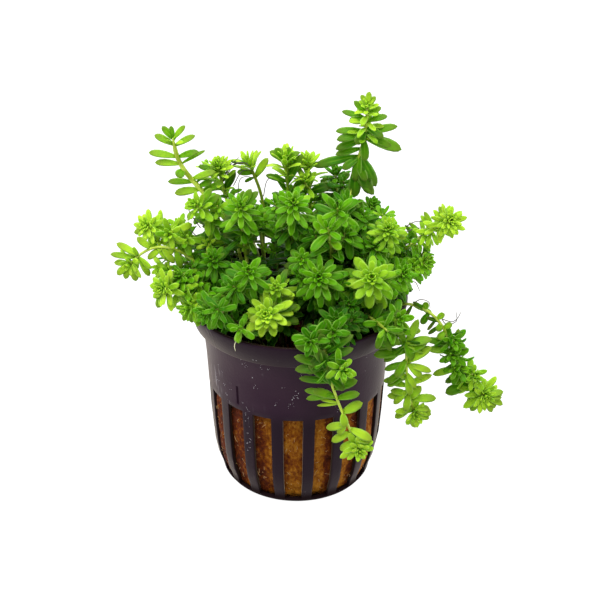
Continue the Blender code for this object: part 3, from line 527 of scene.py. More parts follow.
# Dust grains seen on the wall: angle to the right of the front in degrees, height and radius.
# Each is a few flecks close together.
FLECKS = 3
DUST_SEED = 7
DUST_GRAINS = [(-59.0, 32.7, 0.16), (-50.5, 32.7, 0.18), (-44.0, 32.5, 0.16), (-49.5, 29.9, 0.2),
               (-33.7, 42.6, 0.2), (-30.7, 41.3, 0.14), (-27.2, 38.7, 0.18), (-21.7, 45.8, 0.16),
               (-20.4, 41.9, 0.16), (-15.8, 42.2, 0.2), (-5.0, 32.0, 0.16), (-3.6, 32.9, 0.14),
               (-2.2, 34.0, 0.2), (-1.0, 35.0, 0.16), (0.4, 35.7, 0.24), (1.4, 34.6, 0.16),
               (-12.6, 31.7, 0.16), (-33.0, 29.5, 0.14), (-31.5, 28.6, 0.12), (-32.5, 27.2, 0.16),
               (-30.5, 26.0, 0.12), (-33.5, 25.2, 0.14), (-31.0, 23.6, 0.12), (-32.5, 21.4, 0.13),
               (-30.8, 19.8, 0.14), (-32.2, 18.4, 0.18), (-31.4, 17.2, 0.12), (-33.0, 16.2, 0.13)]

# The stage in metres and watts: half the floor's width, each lamp's name, place, size and power,
# and what the lamps and the camera are aimed at
FLOOR_SIZE = 12.0
LAMPS = [("overhead", (-0.1, -0.2, 0.9), 1.0, 18.0), ("left", (-0.8, 0.0, 0.25), 0.5, 4.0),
         ("right", (0.8, 0.1, 0.25), 0.5, 4.0), ("back", (0.1, 0.8, 0.5), 0.6, 5.0)]
LAMP_TARGET = Vector((0.0, 0.0, 0.06))
CAMERA_TARGET = Vector((0.7 * MM, 0.0, 48.5 * MM))


class Shade:
    """A socket of a material's nodes, so that shader maths reads as a Python expression."""

    def __init__(self, graph, socket):
        self.graph = graph
        self.socket = socket

    def math(self, operation, other=0.0, reflected=False):
        pair = (other, self) if reflected else (self, other)
        return self.graph.node("ShaderNodeMath", {0: pair[0], 1: pair[1]}, operation=operation)

    def __add__(self, other):
        return self.math("ADD", other)

    __radd__ = __add__

    def __mul__(self, other):
        return self.math("MULTIPLY", other)

    __rmul__ = __mul__

    def __sub__(self, other):
        return self.math("SUBTRACT", other)

    def __rsub__(self, other):
        return self.math("SUBTRACT", other, reflected=True)

    def __abs__(self):
        return self.math("ABSOLUTE")


class Graph:
    """A new material and a short way to fill its node tree."""

    def __init__(self, name):
        self.material = bpy.data.materials.new(name)
        self.material.use_nodes = True
        self.tree = self.material.node_tree
        self.tree.nodes.clear()

    def node(self, kind, inputs=None, output=0, stops=None, **settings):
        made = self.tree.nodes.new(kind)
        for name, value in settings.items():
            setattr(made, name, value)
        if stops:
            elements = made.color_ramp.elements
            while len(elements) < len(stops):
                elements.new(1.0)
            for element, (place, colour) in zip(elements, stops):
                element.position = place
                element.color = (*colour, 1.0)
        for name, value in (inputs or {}).items():
            socket = made.inputs[name]
            if isinstance(value, Shade):
                self.tree.links.new(value.socket, socket)
            elif hasattr(value, "__len__") and socket.type == "RGBA":
                socket.default_value = (*value[:3], 1.0)
            else:
                socket.default_value = value
        return Shade(self, made.outputs[output])

    def mix(self, factor, first, second):
        return self.node("ShaderNodeMix", {0: factor, 6: first, 7: second}, output=2,
                         data_type="RGBA")

    def coordinates(self, kind="Object"):
        return self.node("ShaderNodeTexCoord", output=kind)

    def attribute(self, name):
        return self.node("ShaderNodeAttribute", output="Fac", attribute_name=name)

    def split(self, vector):
        """The three parts of a vector."""
        parts = self.node("ShaderNodeSeparateXYZ", {"Vector": vector})
        return [Shade(self, socket) for socket in parts.socket.node.outputs]

    def noise(self, scale, detail=3.0, vector=None, roughness=0.5):
        vector = vector or self.coordinates()
        return self.node("ShaderNodeTexNoise", {"Vector": vector, "Scale": scale, "Detail": detail,
                                                "Roughness": roughness}, output="Fac")

    def step(self, value, low, high, to_low=0.0, to_high=1.0):
        """A smooth step from to_low to to_high as value goes from low to high."""
        return self.node("ShaderNodeMapRange", {"Value": value, "From Min": low, "From Max": high,
                                                "To Min": to_low, "To Max": to_high},
                         interpolation_type="SMOOTHSTEP")

    def stretched(self, scale):
        """Object coordinates drawn out by a different scale along each axis."""
        return self.node("ShaderNodeMapping", {"Vector": self.coordinates(), "Scale": scale})

    def bump(self, height, distance, strength=1.0):
        return self.node("ShaderNodeBump", {"Height": height, "Distance": distance,
                                            "Strength": strength}, output="Normal")

    def surface(self, shader):
        output = self.tree.nodes.new("ShaderNodeOutputMaterial")
        self.tree.links.new(shader.socket, output.inputs["Surface"])
        return self.material


def leaf_material(settings):
    """Green leaf skin: darker when old and with painted shade deeper in the bush, a pale midrib, a pale
    margin that is partly a painted rim highlight, and a little light through it.
    """
    graph = Graph("leaf")
    tone = graph.attribute("tone")
    tint = graph.attribute("tip_tint")
    sideways, along, _ = graph.split(graph.coordinates("UV"))
    across = abs(sideways - 0.5) * 2.0
    mottle = graph.noise(900.0, detail=4.0)
    shade = tone + (mottle - 0.5) * 0.22
    colour = graph.node("ShaderNodeValToRGB", {"Fac": shade},
                        stops=[(0.0, settings.old_leaf), (0.35, settings.shaded_leaf),
                               (0.65, settings.grown_leaf), (1.0, settings.young_leaf)])
    rib = graph.step(across, 0.2, 0.02) * graph.step(along, 0.95, 0.3)
    colour = graph.mix(rib * 0.4, colour, settings.rib)
    # Pale margin: partly the leaf's own colour, partly a painted rim highlight, stronger on brighter
    # leaves.
    margin = graph.step(across, 0.58, 0.95) * (tone * 0.52 + 0.1)
    colour = graph.mix(margin, colour, settings.margin)
    tip = graph.step(along + tint * 0.8, 0.9, 1.5) * tint
    colour = graph.mix(tip, colour, settings.tip)
    height = rib * -0.5 + graph.noise(2600.0, detail=2.0) * 0.25
    skin = graph.node("ShaderNodeBsdfPrincipled",
                      {"Base Color": colour, "Roughness": graph.step(mottle, 0.3, 0.7, 0.3, 0.44),
                       "Specular IOR Level": 0.08, "Normal": graph.bump(height, 0.0001, 0.5)})
    through = graph.node("ShaderNodeBsdfTranslucent", {"Color": settings.light_through})
    return graph.surface(graph.node("ShaderNodeMixShader", {0: 0.34, 1: skin, 2: through}))


def stem_material(settings):
    """Juicy stem, yellow-green where it is young and browner towards the wool."""
    graph = Graph("stem")
    streak = graph.noise(260.0, vector=graph.stretched((1.0, 1.0, 0.25)))
    level = graph.attribute("tone") + (streak - 0.5) * 0.4
    colour = graph.node("ShaderNodeValToRGB", {"Fac": level},
                        stops=[(0.0, settings.low_stem), (0.5, settings.middle_stem),
                               (1.0, settings.high_stem)])
    skin = graph.node("ShaderNodeBsdfPrincipled",
                      {"Base Color": colour, "Roughness": 0.4, "Specular IOR Level": 0.5,
                       "Normal": graph.bump(streak, 0.0002, 0.4)})
    return graph.surface(skin)


def pot_material(settings):
    """Dark plum plastic with moulding streaks, rubbed places and a film of wet dirt inside, darker ribs,
    painted shade on the collar under the leaves and a painted contact shadow round the foot.
    """
    graph = Graph("pot_plastic")
    sideways, depth, height = graph.split(graph.coordinates())
    cloud = graph.noise(45.0, detail=4.0)
    flow = graph.noise(160.0, vector=graph.stretched((1.0, 1.0, 0.12)), detail=3.0)
    colour = graph.mix(graph.step(cloud, 0.35, 0.7), settings.plastic, settings.plastic_worn)
    scratch = graph.noise(700.0, vector=graph.stretched((1.0, 1.0, 0.35)), detail=2.0)
    patch = graph.step(graph.noise(95.0, detail=2.0), 0.55, 0.66)
    thread = graph.noise(900.0, vector=graph.stretched((1.0, 1.0, 0.12)), detail=2.0)
    streak = graph.step(thread, 0.56, 0.68) * graph.step(sideways, -7 * MM, -11 * MM)
    behind = graph.step(depth, -8 * MM, 4 * MM)
    streak = streak * graph.step(graph.noise(70.0, detail=2.0), 0.46, 0.6) * (0.7 - behind * 0.5)
    rubbed = graph.step(scratch, 0.64, 0.74) * patch + streak
    colour = graph.mix(rubbed * 0.5, colour, settings.dust)
    # Painted shade: the collar under the leaves is darker. The ribs below the slots' top are darker too.
    darkened = graph.step(height, 31 * MM, 25 * MM) * 0.85 + graph.step(height, 43.5 * MM, 45 * MM) * 0.8
    colour = graph.mix(darkened, colour, settings.plastic_dark_and_shade)
    inside = graph.step(graph.attribute("inside"), 0.1, 0.45)
    colour = graph.mix(inside * 0.85, colour, settings.wet_dirt)
    roughness = 0.3 + cloud * 0.14 + flow * 0.1 + rubbed * 0.3
    relief = flow * 0.6 + graph.noise(1500.0, detail=3.0) * 0.25 + rubbed * 0.8
    skin = graph.node("ShaderNodeBsdfPrincipled",
                      {"Base Color": colour, "Roughness": roughness, "Specular IOR Level": 0.07,
                       "Sheen Weight": 0.3, "Sheen Roughness": 0.35,
                       "Sheen Tint": settings.plastic_sheen,
                       "Normal": graph.bump(relief, 0.0003, 0.35)})
    # Painted contact shadow: a dark matt film over the lowest few mm of the foot.
    film = graph.node("ShaderNodeBsdfDiffuse", {"Color": settings.foot_painted_shadow})
    foot = graph.step(height, 5 * MM, 2 * MM) * 0.9
    return graph.surface(graph.node("ShaderNodeMixShader", {0: foot, 1: skin, 2: film}))


def wool_material(settings):
    """Matted mineral wool: ochre grains, painted shade behind the ribs and at the slots' outer sides,
    pale specks that are partly painted glints, and wet glints.
    """
    graph = Graph("mineral_wool")
    height = graph.split(graph.coordinates())[2]
    grain = graph.noise(1100.0, vector=graph.stretched((1.0, 1.0, 0.7)), detail=4.0, roughness=0.65)
    clump = graph.noise(210.0, detail=3.0)
    stain = graph.noise(75.0, vector=graph.stretched((1.0, 1.0, 0.6)), detail=2.0)
    top = graph.step(height, 33 * MM, 38 * MM, 0.0, 0.3)
    low = graph.step(height, 10 * MM, 4 * MM) * 0.1
    # Painted shade: wool behind the ribs and at each slot's outer side is darker.
    painted_shade = graph.step(graph.attribute("wool_shade"), 0.1, 1.0)
    level = grain * 0.95 + clump * 0.5 + stain * 0.5 + low - 0.46 - top - painted_shade * 0.27
    colour = graph.node("ShaderNodeValToRGB", {"Fac": level},
                        stops=[(0.1, settings.wool_shade_black), (0.3, settings.wool_dark_and_shade),
                               (0.48, settings.wool), (0.68, settings.wool_pale)])
    glint = graph.step(graph.noise(1900.0, detail=1.0), 0.66, 0.72)
    # Pale specks: light grains, partly painted glints.
    speck_and_glint = graph.step(graph.noise(2300.0, detail=2.0), 0.66, 0.72) * graph.step(clump, 0.42, 0.6)
    colour = graph.mix(speck_and_glint * 0.6, colour, settings.wool_speck_and_glint)
    skin = graph.node("ShaderNodeBsdfPrincipled",
                      {"Base Color": colour, "Roughness": 0.8 - glint * 0.62,
                       "Specular IOR Level": 0.1,
                       "Normal": graph.bump(grain + clump, 0.0008, 0.8)})
    return graph.surface(skin)


def plain_material(name, colour, roughness):
    """A thin strand's finish with a little variation along it."""
    graph = Graph(name)
    grain = graph.noise(700.0)
    tinted = graph.mix(graph.step(grain, 0.3, 0.7) * 0.5, colour, [c * 0.45 for c in colour])
    skin = graph.node("ShaderNodeBsdfPrincipled", {"Base Color": tinted, "Roughness": roughness})
    return graph.surface(skin)


def add_piece(name, bm, materials, replaces=(), sharp=None):
    """Finish a mesh as one piece that rides on the pot's body."""
    bmesh.ops.scale(bm, vec=(MM, MM, MM), verts=bm.verts)
    mesh = bpy.data.meshes.new(name)
    bm.to_mesh(mesh)
    bm.free()
    for material in materials:
        mesh.materials.append(material)
    mesh.shade_smooth()
    if sharp:
        mesh.set_sharp_from_angle(angle=radians(sharp))
    piece = bpy.data.objects.new(name, mesh)
    bpy.context.scene.collection.objects.link(piece)
    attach(piece, "root")
    if replaces:
        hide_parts(*replaces)
    return piece


def spun(bm, points, steps):
    """Turn an outline of (radius, height) points round the upright axis into a skin."""
    ring = [bm.verts.new((radius, 0.0, height)) for radius, height in points]
    edges = [bm.edges.new(pair) for pair in zip(ring, ring[1:])]
    bmesh.ops.spin(bm, geom=ring + edges, cent=(0, 0, 0), axis=(0, 0, 1), angle=2 * pi,
                   steps=steps, use_merge=True)
    bmesh.ops.remove_doubles(bm, verts=bm.verts, dist=0.001)


def nearest_slot(point):
    """The number of the slot nearest to a point, and how many degrees to its side the point is."""
    angle = degrees(atan2(point.x, -point.y)) - SLOT_TURN
    number = round(angle / SLOT_PITCH)
    return number, angle - number * SLOT_PITCH


def wall_radius(height):
    heights = [0.0] + [h for h, r in WALL_OUTER]
    radii = [FOOT_RADIUS] + [r for h, r in WALL_OUTER]
    return float(np.interp(height, heights, radii))


def pot_shell(bm, thickness):
    """The pot's skin with its slots, drains and dent, given a wall with rounded edges."""
    outline = [(0.0, 0.0), (DRAIN_IN, 0.0), (DRAIN_OUT, 0.0), (FOOT_RADIUS, 0.0)]
    outline += [(radius, height) for height, radius in WALL_OUTER]
    outline += [(COLLAR_RADIUS - 0.3, COLLAR_LOW), (COLLAR_RADIUS, COLLAR_LOW + 0.4),
                (RIM_RADIUS - 0.2, HEIGHT - 0.6), (RIM_RADIUS - 0.2, HEIGHT)]
    spun(bm, outline, SLOTS * STEPS_PER_SLOT)
    turn = Matrix.Rotation(radians(SLOT_TURN - 90.0), 3, "Z")
    bmesh.ops.rotate(bm, cent=(0, 0, 0), matrix=turn, verts=bm.verts)
    widen = radians(SLOT_ANGLE / 2 - SLOT_STEP)
    for vert in bm.verts:
        aside = nearest_slot(vert.co)[1]
        if abs(abs(aside) - SLOT_STEP) < 0.1:
            vert.co = Matrix.Rotation(copysign(widen, aside), 3, "Z") @ vert.co
    bmesh.ops.recalc_face_normals(bm, faces=bm.faces)
    doomed = []
    dented = []
    for face in bm.faces:
        centre = face.calc_center_median()
        number, aside = nearest_slot(centre)
        radius = hypot(centre.x, centre.y)
        in_dent = DENT_LOW < centre.z < DENT_HIGH and radius > FOOT_RADIUS
        if in_dent and abs(number * SLOT_PITCH + aside + SLOT_TURN - DENT_ANGLE) < DENT_HALF:
            dented.append(face)
        side_slot = SLOT_LOW < centre.z < SLOT_HIGH
        drain_slot = DRAIN_IN < radius < DRAIN_OUT and centre.z < 0.1 and number % 2 == 0
        if abs(aside) < SLOT_ANGLE / 2 and (side_slot or drain_slot):
            doomed.append(face)
    bmesh.ops.inset_individual(bm, faces=dented, thickness=DENT_BORDER, depth=-DENT_DEPTH)
    bmesh.ops.delete(bm, geom=doomed, context="FACES")
    inside = bm.verts.layers.float.new("inside")
    grown = bmesh.ops.solidify(bm, geom=bm.faces[:], thickness=thickness)["geom"]
    for item in grown:
        if isinstance(item, bmesh.types.BMVert):
            item[inside] = 1.0
    corners = [edge for edge in bm.edges if edge.calc_face_angle(0.0) > radians(60.0)]
    bmesh.ops.bevel(bm, geom=corners, offset=EDGE_ROUNDING, offset_type="OFFSET", affect="EDGES",
                    segments=2, profile=0.5, material=-1, clamp_overlap=True)


def dust_flecks(bm, count):
    """Groups of flecks on the wall: the grains that are placed, then as many loose ones as asked."""
    rng = np.random.default_rng(DUST_SEED)
    grains = list(DUST_GRAINS)
    for _ in range(count):
        grains.append((rng.uniform(-180.0, 180.0), rng.uniform(28.5, 43.5), rng.uniform(0.07, 0.14)))
    for angle, height, radius in grains:
        for _ in range(FLECKS):
            aside = angle + rng.normal(0.0, 0.7)
            up = height + rng.normal(0.0, 0.32)
            longer = rng.uniform(0.6, 2.6)
            wall = wall_radius(up) if up < COLLAR_LOW else COLLAR_RADIUS + 0.35
            out = Matrix.Translation((0.0, -wall, up)) @ Matrix.Rotation(rng.uniform(0.0, pi), 4, "Y")
            place = Matrix.Rotation(radians(aside), 4, "Z") @ out
            shape = Matrix.Diagonal((longer ** -0.5, 0.45, longer ** 0.6, 1.0))
            size = radius * rng.uniform(0.35, 0.75)
            bmesh.ops.create_icosphere(bm, subdivisions=1, radius=size, matrix=place @ shape)


def wool_body(bm):
    """The plug: lumpy, fuller at the sides and the back, and bulging a little into the slots."""
    heights = np.linspace(PLUG_LOW, PLUG_TOP - PLUG_EDGE, PLUG_LEVELS)
    outline = [(0.0, PLUG_LOW)]
    outline += [(wall_radius(h) - PLUG_INSET + PLUG_FOOT_OUT * (h < 2.0), h) for h in heights]
    outline += [(wall_radius(PLUG_TOP) - PLUG_INSET - inset, PLUG_TOP) for inset in PLUG_TOP_RINGS]
    outline.append((0.0, PLUG_TOP))
    spun(bm, outline, PLUG_STEPS)
    bmesh.ops.recalc_face_normals(bm, faces=bm.faces)
    for vert in bm.verts:
        lump = noise.noise(vert.co * 0.35) * 0.5 + noise.noise(vert.co * 1.1) * 0.35
        vert.co += vert.normal * lump
        reach = max(0.1, hypot(vert.co.x, vert.co.y))
        behind = 0.5 + 0.5 * vert.co.y / reach
        if reach > PLUG_CORE and vert.co.z < PLUG_TOP - 1.0:
            aside = abs(nearest_slot(vert.co)[1])
            opened = float(np.interp(aside, [3.8, 5.8], [1.0, 0.0]))
            opened *= float(np.interp(vert.co.z, [2.5, 4.0, 26.0, 27.0], [0.0, 1.0, 1.0, 0.0]))
            limit = wall_radius(vert.co.z) - PLUG_CLEAR + PLUG_BULGE * opened
            swell = min(reach + (PLUG_SWELL + PLUG_BULGE) * min(1.0, 3.2 * behind), limit) / reach
            vert.co.x *= swell
            vert.co.y *= swell


def mark_painted_shade(bm):
    """Mark where the wool gets painted shade: behind the ribs, and at the outer side of each slot but the
    front.
    """
    wool_shade = bm.verts.layers.float.new("wool_shade")
    for vert in bm.verts:
        number, aside = nearest_slot(vert.co)
        away = aside if number > 0 else -aside
        rib = float(np.interp(abs(aside), [4.0, 6.6, 9.0], [0.0, 0.5, 1.0]))
        marks = SHADE_LEFT if number < 0 else SHADE_RIGHT
        darkened = float(np.interp(away, marks, [0.72 * (number < -1), 0.85, 1.0])) * (number != 0)
        vert[wool_shade] = max(rib, darkened)


def spread_roots(names):
    """Stand the stems on the plug below where they lead, no two closer than the spacing."""
    spots = []
    for name in names:
        x, y, z = SHOOTS[name][0]
        share = min(ROOT_PULL, ROOT_LIMIT / max(hypot(x, y), 1.0))
        spots.append([x * share, y * share])
    spots = np.array(spots)
    for _ in range(ROOT_ROUNDS):
        apart = spots[:, None, :] - spots[None, :, :]
        distance = np.sqrt((apart ** 2).sum(axis=2)) + np.eye(len(spots)) * FAR
        push = np.clip(ROOT_SPACING - distance, 0.0, None) * ROOT_PUSH
        spots += (apart / distance[..., None] * push[..., None]).sum(axis=1)
        reach = np.sqrt((spots ** 2).sum(axis=1))
        spots *= np.minimum(1.0, ROOT_LIMIT / reach)[:, None]
    return spots


def smooth_path(points):
    """Catmull-Rom curve through the points, sampled evenly between each two."""
    points = [np.array(p, float) for p in points]
    knots = [2 * points[0] - points[1]] + points + [2 * points[-1] - points[-2]]
    out = []
    for a, b, c, d in zip(knots, knots[1:], knots[2:], knots[3:]):
        for step in range(SAMPLES_PER_SPAN):
            t = step / SAMPLES_PER_SPAN
            out.append(0.5 * (2 * b + (c - a) * t + (2 * a - 5 * b + 4 * c - d) * t ** 2
                              + (3 * b - 3 * c + d - a) * t ** 3))
    out.append(points[-1])
    return np.array(out)


def stem_lengths(path):
    """Distance of each point of a path from its first point."""
    return np.concatenate([[0.0], np.cumsum(np.sqrt((np.diff(path, axis=0) ** 2).sum(1)))])


def even_path(path, spacing):
    """The same curve with its points a near-even distance apart."""
    lengths = stem_lengths(path)
    count = max(4, int(round(lengths[-1] / spacing)))
    marks = np.linspace(0.0, lengths[-1], count + 1)
    return np.stack([np.interp(marks, lengths, path[:, k]) for k in range(3)], axis=1)


def ease_apart(paths):
    """Push stems that pass too close gently aside, holding their roots and tips."""
    sizes = [len(path) for path in paths]
    owner = np.repeat(np.arange(len(paths)), sizes)
    points = np.concatenate(paths)
    place = np.concatenate([np.arange(size) / (size - 1) for size in sizes])
    freedom = np.clip(np.minimum(place * ROOT_HOLD, (1.0 - place) * TIP_HOLD), 0.0, 1.0)[:, None]
    same_stem = owner[:, None] == owner[None, :]
    starts = np.cumsum([0] + sizes[:-1])
    for _ in range(EASE_ROUNDS):
        square = (points ** 2).sum(axis=1)
        product = points @ points.T
        distance = np.sqrt(np.maximum(square[:, None] + square[None, :] - 2.0 * product, 0.0))
        distance[same_stem] = FAR
        push = np.clip(PATH_CLEARANCE - distance, 0.0, None) * EASE_PUSH / np.maximum(distance, 0.3)
        shift = points * push.sum(axis=1)[:, None] - push @ points
        shift[:, 2] *= EASE_LIFT
        points = points + np.clip(shift, -EASE_LIMIT, EASE_LIMIT) * freedom
        for start, size in zip(starts, sizes):
            part = points[start:start + size]
            middle = (part[:-2] + part[2:]) / 2
            points[start + 1:start + size - 1] += (middle - part[1:-1]) * EASE_SMOOTHING
    return np.split(points, np.cumsum(sizes)[:-1])


def stem_paths():
    """Every stem's route, worked out as the CAD does, by name."""
    names = list(SHOOTS)
    roots = spread_roots(names)
    paths = []
    for name, (x, y) in zip(names, roots):
        rise = (x * RISE_SPREAD, y * RISE_SPREAD, PLUG_TOP + RISE)
        start = (x, y, PLUG_TOP + GAP)
        paths.append(even_path(smooth_path([start, rise] + SHOOTS[name]), PATH_SPACING))
    return dict(zip(names, ease_apart(paths)))


def frames_along(path):
    """A frame at each point of a path, its Z forward along the path and without twist."""
    frames = []
    side = Vector((1.0, 0.0, 0.0))
    last = len(path) - 1
    for number, point in enumerate(path):
        forward = Vector(path[min(number + 1, last)]) - Vector(path[max(number - 1, 0)])
        forward.normalize()
        side = (side - forward * side.dot(forward)).normalized()
        across = forward.cross(side)
        turn = Matrix((side, across, forward)).transposed().to_4x4()
        frames.append(Matrix.Translation(Vector(point)) @ turn)
    return frames


def place_on(path, lengths, distance):
    """The point of a stem at a distance below its tip, and the number of the span it is on."""
    mark = max(lengths[-1] - distance, 0.01)
    number = int(np.searchsorted(lengths, mark) - 1)
    share = (mark - lengths[number]) / (lengths[number + 1] - lengths[number])
    return Vector(path[number]).lerp(Vector(path[number + 1]), share), number


def add_tube(bm, path, radii, sides, tones):
    """A closed round tube along a path, grown ring by ring from a filled circle."""
    layer = bm.verts.layers.float["tone"]
    frames = [frame @ Matrix.Scale(radius, 4) for frame, radius in zip(frames_along(path), radii)]
    made = bmesh.ops.create_circle(bm, cap_ends=True, segments=sides, radius=1.0, matrix=frames[0])
    verts = made["verts"]
    faces = [face for face in verts[0].link_faces]
    for face in faces:
        face.material_index = STEM_SLOT
    for vert in verts:
        vert[layer] = tones[0]
    for before, after, tone in zip(frames, frames[1:], tones[1:]):
        grown = bmesh.ops.extrude_face_region(bm, geom=faces)["geom"]
        verts = [item for item in grown if isinstance(item, bmesh.types.BMVert)]
        faces = [item for item in grown if isinstance(item, bmesh.types.BMFace)]
        bmesh.ops.transform(bm, matrix=after @ before.inverted(), verts=verts)
        for vert in verts:
            vert[layer] = tone


def wool_fibres(bm, count):
    """Short curved fibres that lie on the wool in the slots."""
    bm.verts.layers.float.new("tone")
    rng = np.random.default_rng(FIBRE_SEED)
    for _ in range(count):
        angle = radians(SLOT_PITCH * rng.integers(0, SLOTS) + SLOT_TURN + rng.uniform(-4.5, 4.5))
        height = rng.uniform(5.0, 25.5)
        way = Vector((rng.normal(0.0, 0.28), 0.0, rng.normal(0.0, 0.42)))
        middle = Vector((rng.normal(0.0, 0.12), -0.1, rng.normal(0.0, 0.12)))
        turn = Matrix.Rotation(angle, 3, "Z")
        base = Vector((0.0, -wall_radius(height) + PLUG_CLEAR - PLUG_BULGE, height))
        bend = [turn @ (base - way), turn @ (base + middle), turn @ (base + way)]
        path = even_path(smooth_path(bend), FIBRE_SPACING)
        add_tube(bm, path, np.full(len(path), FIBRE_RADIUS), 4, np.zeros(len(path)))
    bmesh.ops.recalc_face_normals(bm, faces=bm.faces)


def add_strands(name, strands, colour):
    """Thin tapering strands through their points, as one piece."""
    bm = bmesh.new()
    bm.verts.layers.float.new("tone")
    for strand in strands:
        path = even_path(smooth_path(strand), STRAND_SPACING)
        radii = np.linspace(1.0, 0.6, len(path)) * STRAND_RADIUS
        add_tube(bm, path, radii, 6, np.zeros(len(path)))
    bmesh.ops.recalc_face_normals(bm, faces=bm.faces)
    add_piece(name, bm, [plain_material(name, colour, 0.5)])


def leaf_template():
    """A flat leaf of unit length and width with a lens-shaped section, as a mesh to copy."""
    bm = bmesh.new()
    bm.loops.layers.uv.new("leaf")
    rows = len(LEAF_OUTLINE) - 1
    for side in (1, -1):
        made = bmesh.ops.create_grid(bm, x_segments=4, y_segments=rows, size=0.5)["verts"]
        for vert in made:
            row = round((vert.co.y + 0.5) * rows)
            place, half = LEAF_OUTLINE[row]
            across = vert.co.x * 2.0
            rounding = TIP_ROUNDING * across ** 2 * max(0.0, place - 0.5) * 2.0
            edge = row in (0, rows) or abs(across) > 0.99
            vert.co = (across * half * 0.5, place - rounding, 0.0 if edge else side * 0.5)
        if side < 0:
            faces = list({face for vert in made for face in vert.link_faces})
            bmesh.ops.reverse_faces(bm, faces=faces)
    bmesh.ops.remove_doubles(bm, verts=bm.verts, dist=0.0001)
    layer = bm.loops.layers.uv["leaf"]
    for face in bm.faces:
        for loop in face.loops:
            place = loop.vert.co.y
            half = float(np.interp(place, *zip(*LEAF_OUTLINE)))
            loop[layer].uv = (loop.vert.co.x / half + 0.5, place)
    mesh = bpy.data.meshes.new("leaf_template")
    bm.to_mesh(mesh)
    bm.free()
    return mesh


Leaf = namedtuple("Leaf", "length width curl fold twist tone tint")


def add_leaf(bm, template, base, direction, upper, leaf):
    """Copy the template to a place, bent along its length and folded along its midrib."""
    before = len(bm.verts)
    bm.from_mesh(template)
    bm.verts.ensure_lookup_table()
    tone = bm.verts.layers.float["tone"]
    tint = bm.verts.layers.float["tip_tint"]
    direction = direction.normalized()
    upper = (upper - direction * upper.dot(direction)).normalized()
    across = direction.cross(upper)
    for vert in bm.verts[before:]:
        x, place, z = vert.co
        x *= leaf.width
        z = z * LEAF_THICKNESS + leaf.fold * abs(x)
        turn = leaf.twist * place
        x, z = x * cos(turn) - z * sin(turn), x * sin(turn) + z * cos(turn)
        angle = leaf.curl * place
        if abs(leaf.curl) > 0.01:
            ahead = leaf.length * sin(angle) / leaf.curl
            down = leaf.length * (1.0 - cos(angle)) / leaf.curl
        else:
            ahead, down = leaf.length * place, 0.0
        vert.co = (base + across * x + direction * (ahead + z * sin(angle))
                   + upper * (z * cos(angle) - down))
        vert[tone] = leaf.tone
        vert[tint] = leaf.tint


def in_gap(point):
    """Whether a point lies in one of the openings."""
    away = point - GAP_VIEW
    for place, radius in GAPS:
        line = (Vector(place) - GAP_VIEW).normalized()
        if (away - line * away.dot(line)).length < radius:
            return True
    return False


def turned(frame, face):
    """A frame's three axes with its forward one turned towards a way."""
    side = frame.col[0].to_3d()
    forward = (frame.col[2].to_3d() + face).normalized()
    side = (side - forward * side.dot(forward)).normalized()
    return side, forward.cross(side), forward


def node_places(look, length):
    """Distance from the tip, share of the full leaf and share of the spread at each node."""
    places = []
    distance = 0.0
    for number in range(look.nodes):
        share = (number + 1) / look.nodes
        distance += (0.2 + 0.7 * share) * look.close
        places.append((distance, 0.22 + 0.78 * share ** 0.9, share ** 0.8))
    distance = max(distance, look.clear)
    while distance + look.pitch < min(look.leafy, length - 1.0):
        distance += look.pitch
        places.append((distance, look.low, 1.0))
    return places


def keep_off_pot(base, direction, length):
    """Turn a leaf outwards where it would end inside the pot's wall, if it starts outside it."""
    end = base + direction.normalized() * length
    if end.z > HEIGHT + 1.0 or hypot(base.x, base.y) < RIM_RADIUS - INSIDE_RIM:
        return direction
    wall = (RIM_RADIUS if end.z > COLLAR_LOW else wall_radius(max(end.z, 0.0))) + LEAF_CLEAR
    lack = wall - hypot(end.x, end.y)
    if lack <= 0.0:
        return direction
    outward = Vector((end.x, end.y, 0.0)).normalized()
    return direction.normalized() + outward * (LEAF_TURN_OUT * lack / length)


def add_tuft(bm, template, base, direction, look, rng):
    """A bud's few small leaves in the corner between a leaf and the stem."""
    direction = direction.normalized()
    side = direction.orthogonal().normalized()
    across = direction.cross(side)
    turn = rng.uniform(0, pi)
    for k in range(TUFT_LEAVES):
        angle = turn + 2 * pi * k / TUFT_LEAVES
        radial = side * cos(angle) + across * sin(angle)
        open_angle = radians(TUFT_ANGLES[k % 2])
        leaf = Leaf(look.leaf * rng.uniform(*TUFT_LENGTH), look.width * 0.6, curl=0.2, fold=0.3,
                    twist=0.0, tone=look.tone + 0.12, tint=0.0)
        add_leaf(bm, template, base, direction * cos(open_angle) + radial * sin(open_angle),
                 direction * sin(open_angle) - radial * cos(open_angle), leaf)


def add_stem(bm, path, tones, radius):
    """A stem's tube, tapering at its tip."""
    lengths = stem_lengths(path)
    radii = np.interp(lengths, [0.0, max(0.1, lengths[-1] - 3.0), lengths[-1]],
                      [radius, radius * 0.8, 0.2])
    add_tube(bm, path, radii, 6, tones)


def grown_leaf(look, distance, size, opening, rng):
    """One leaf of a node, a little different from the others."""
    length = look.leaf * size * rng.uniform(*LENGTH_RANGE)
    # Tone falls below the rosette, for older leaves and as painted shade deeper in the bush.
    tone = look.tone + rng.normal(*TONE_DRAW) - look.fade * max(0.0, distance - ROSETTE_DEPTH)
    width = look.width * (0.14 + 0.86 * size) * rng.uniform(*WIDTH_RANGE)
    curl = rng.normal(*CURL_DRAW) * opening - BUD_CURL * (1 - opening)
    return Leaf(length, width, curl, fold=rng.uniform(*FOLD_RANGE), twist=rng.normal(*TWIST_DRAW),
                tone=max(tone, DARKEST), tint=max(0.0, rng.normal(*TINT_DRAW)))


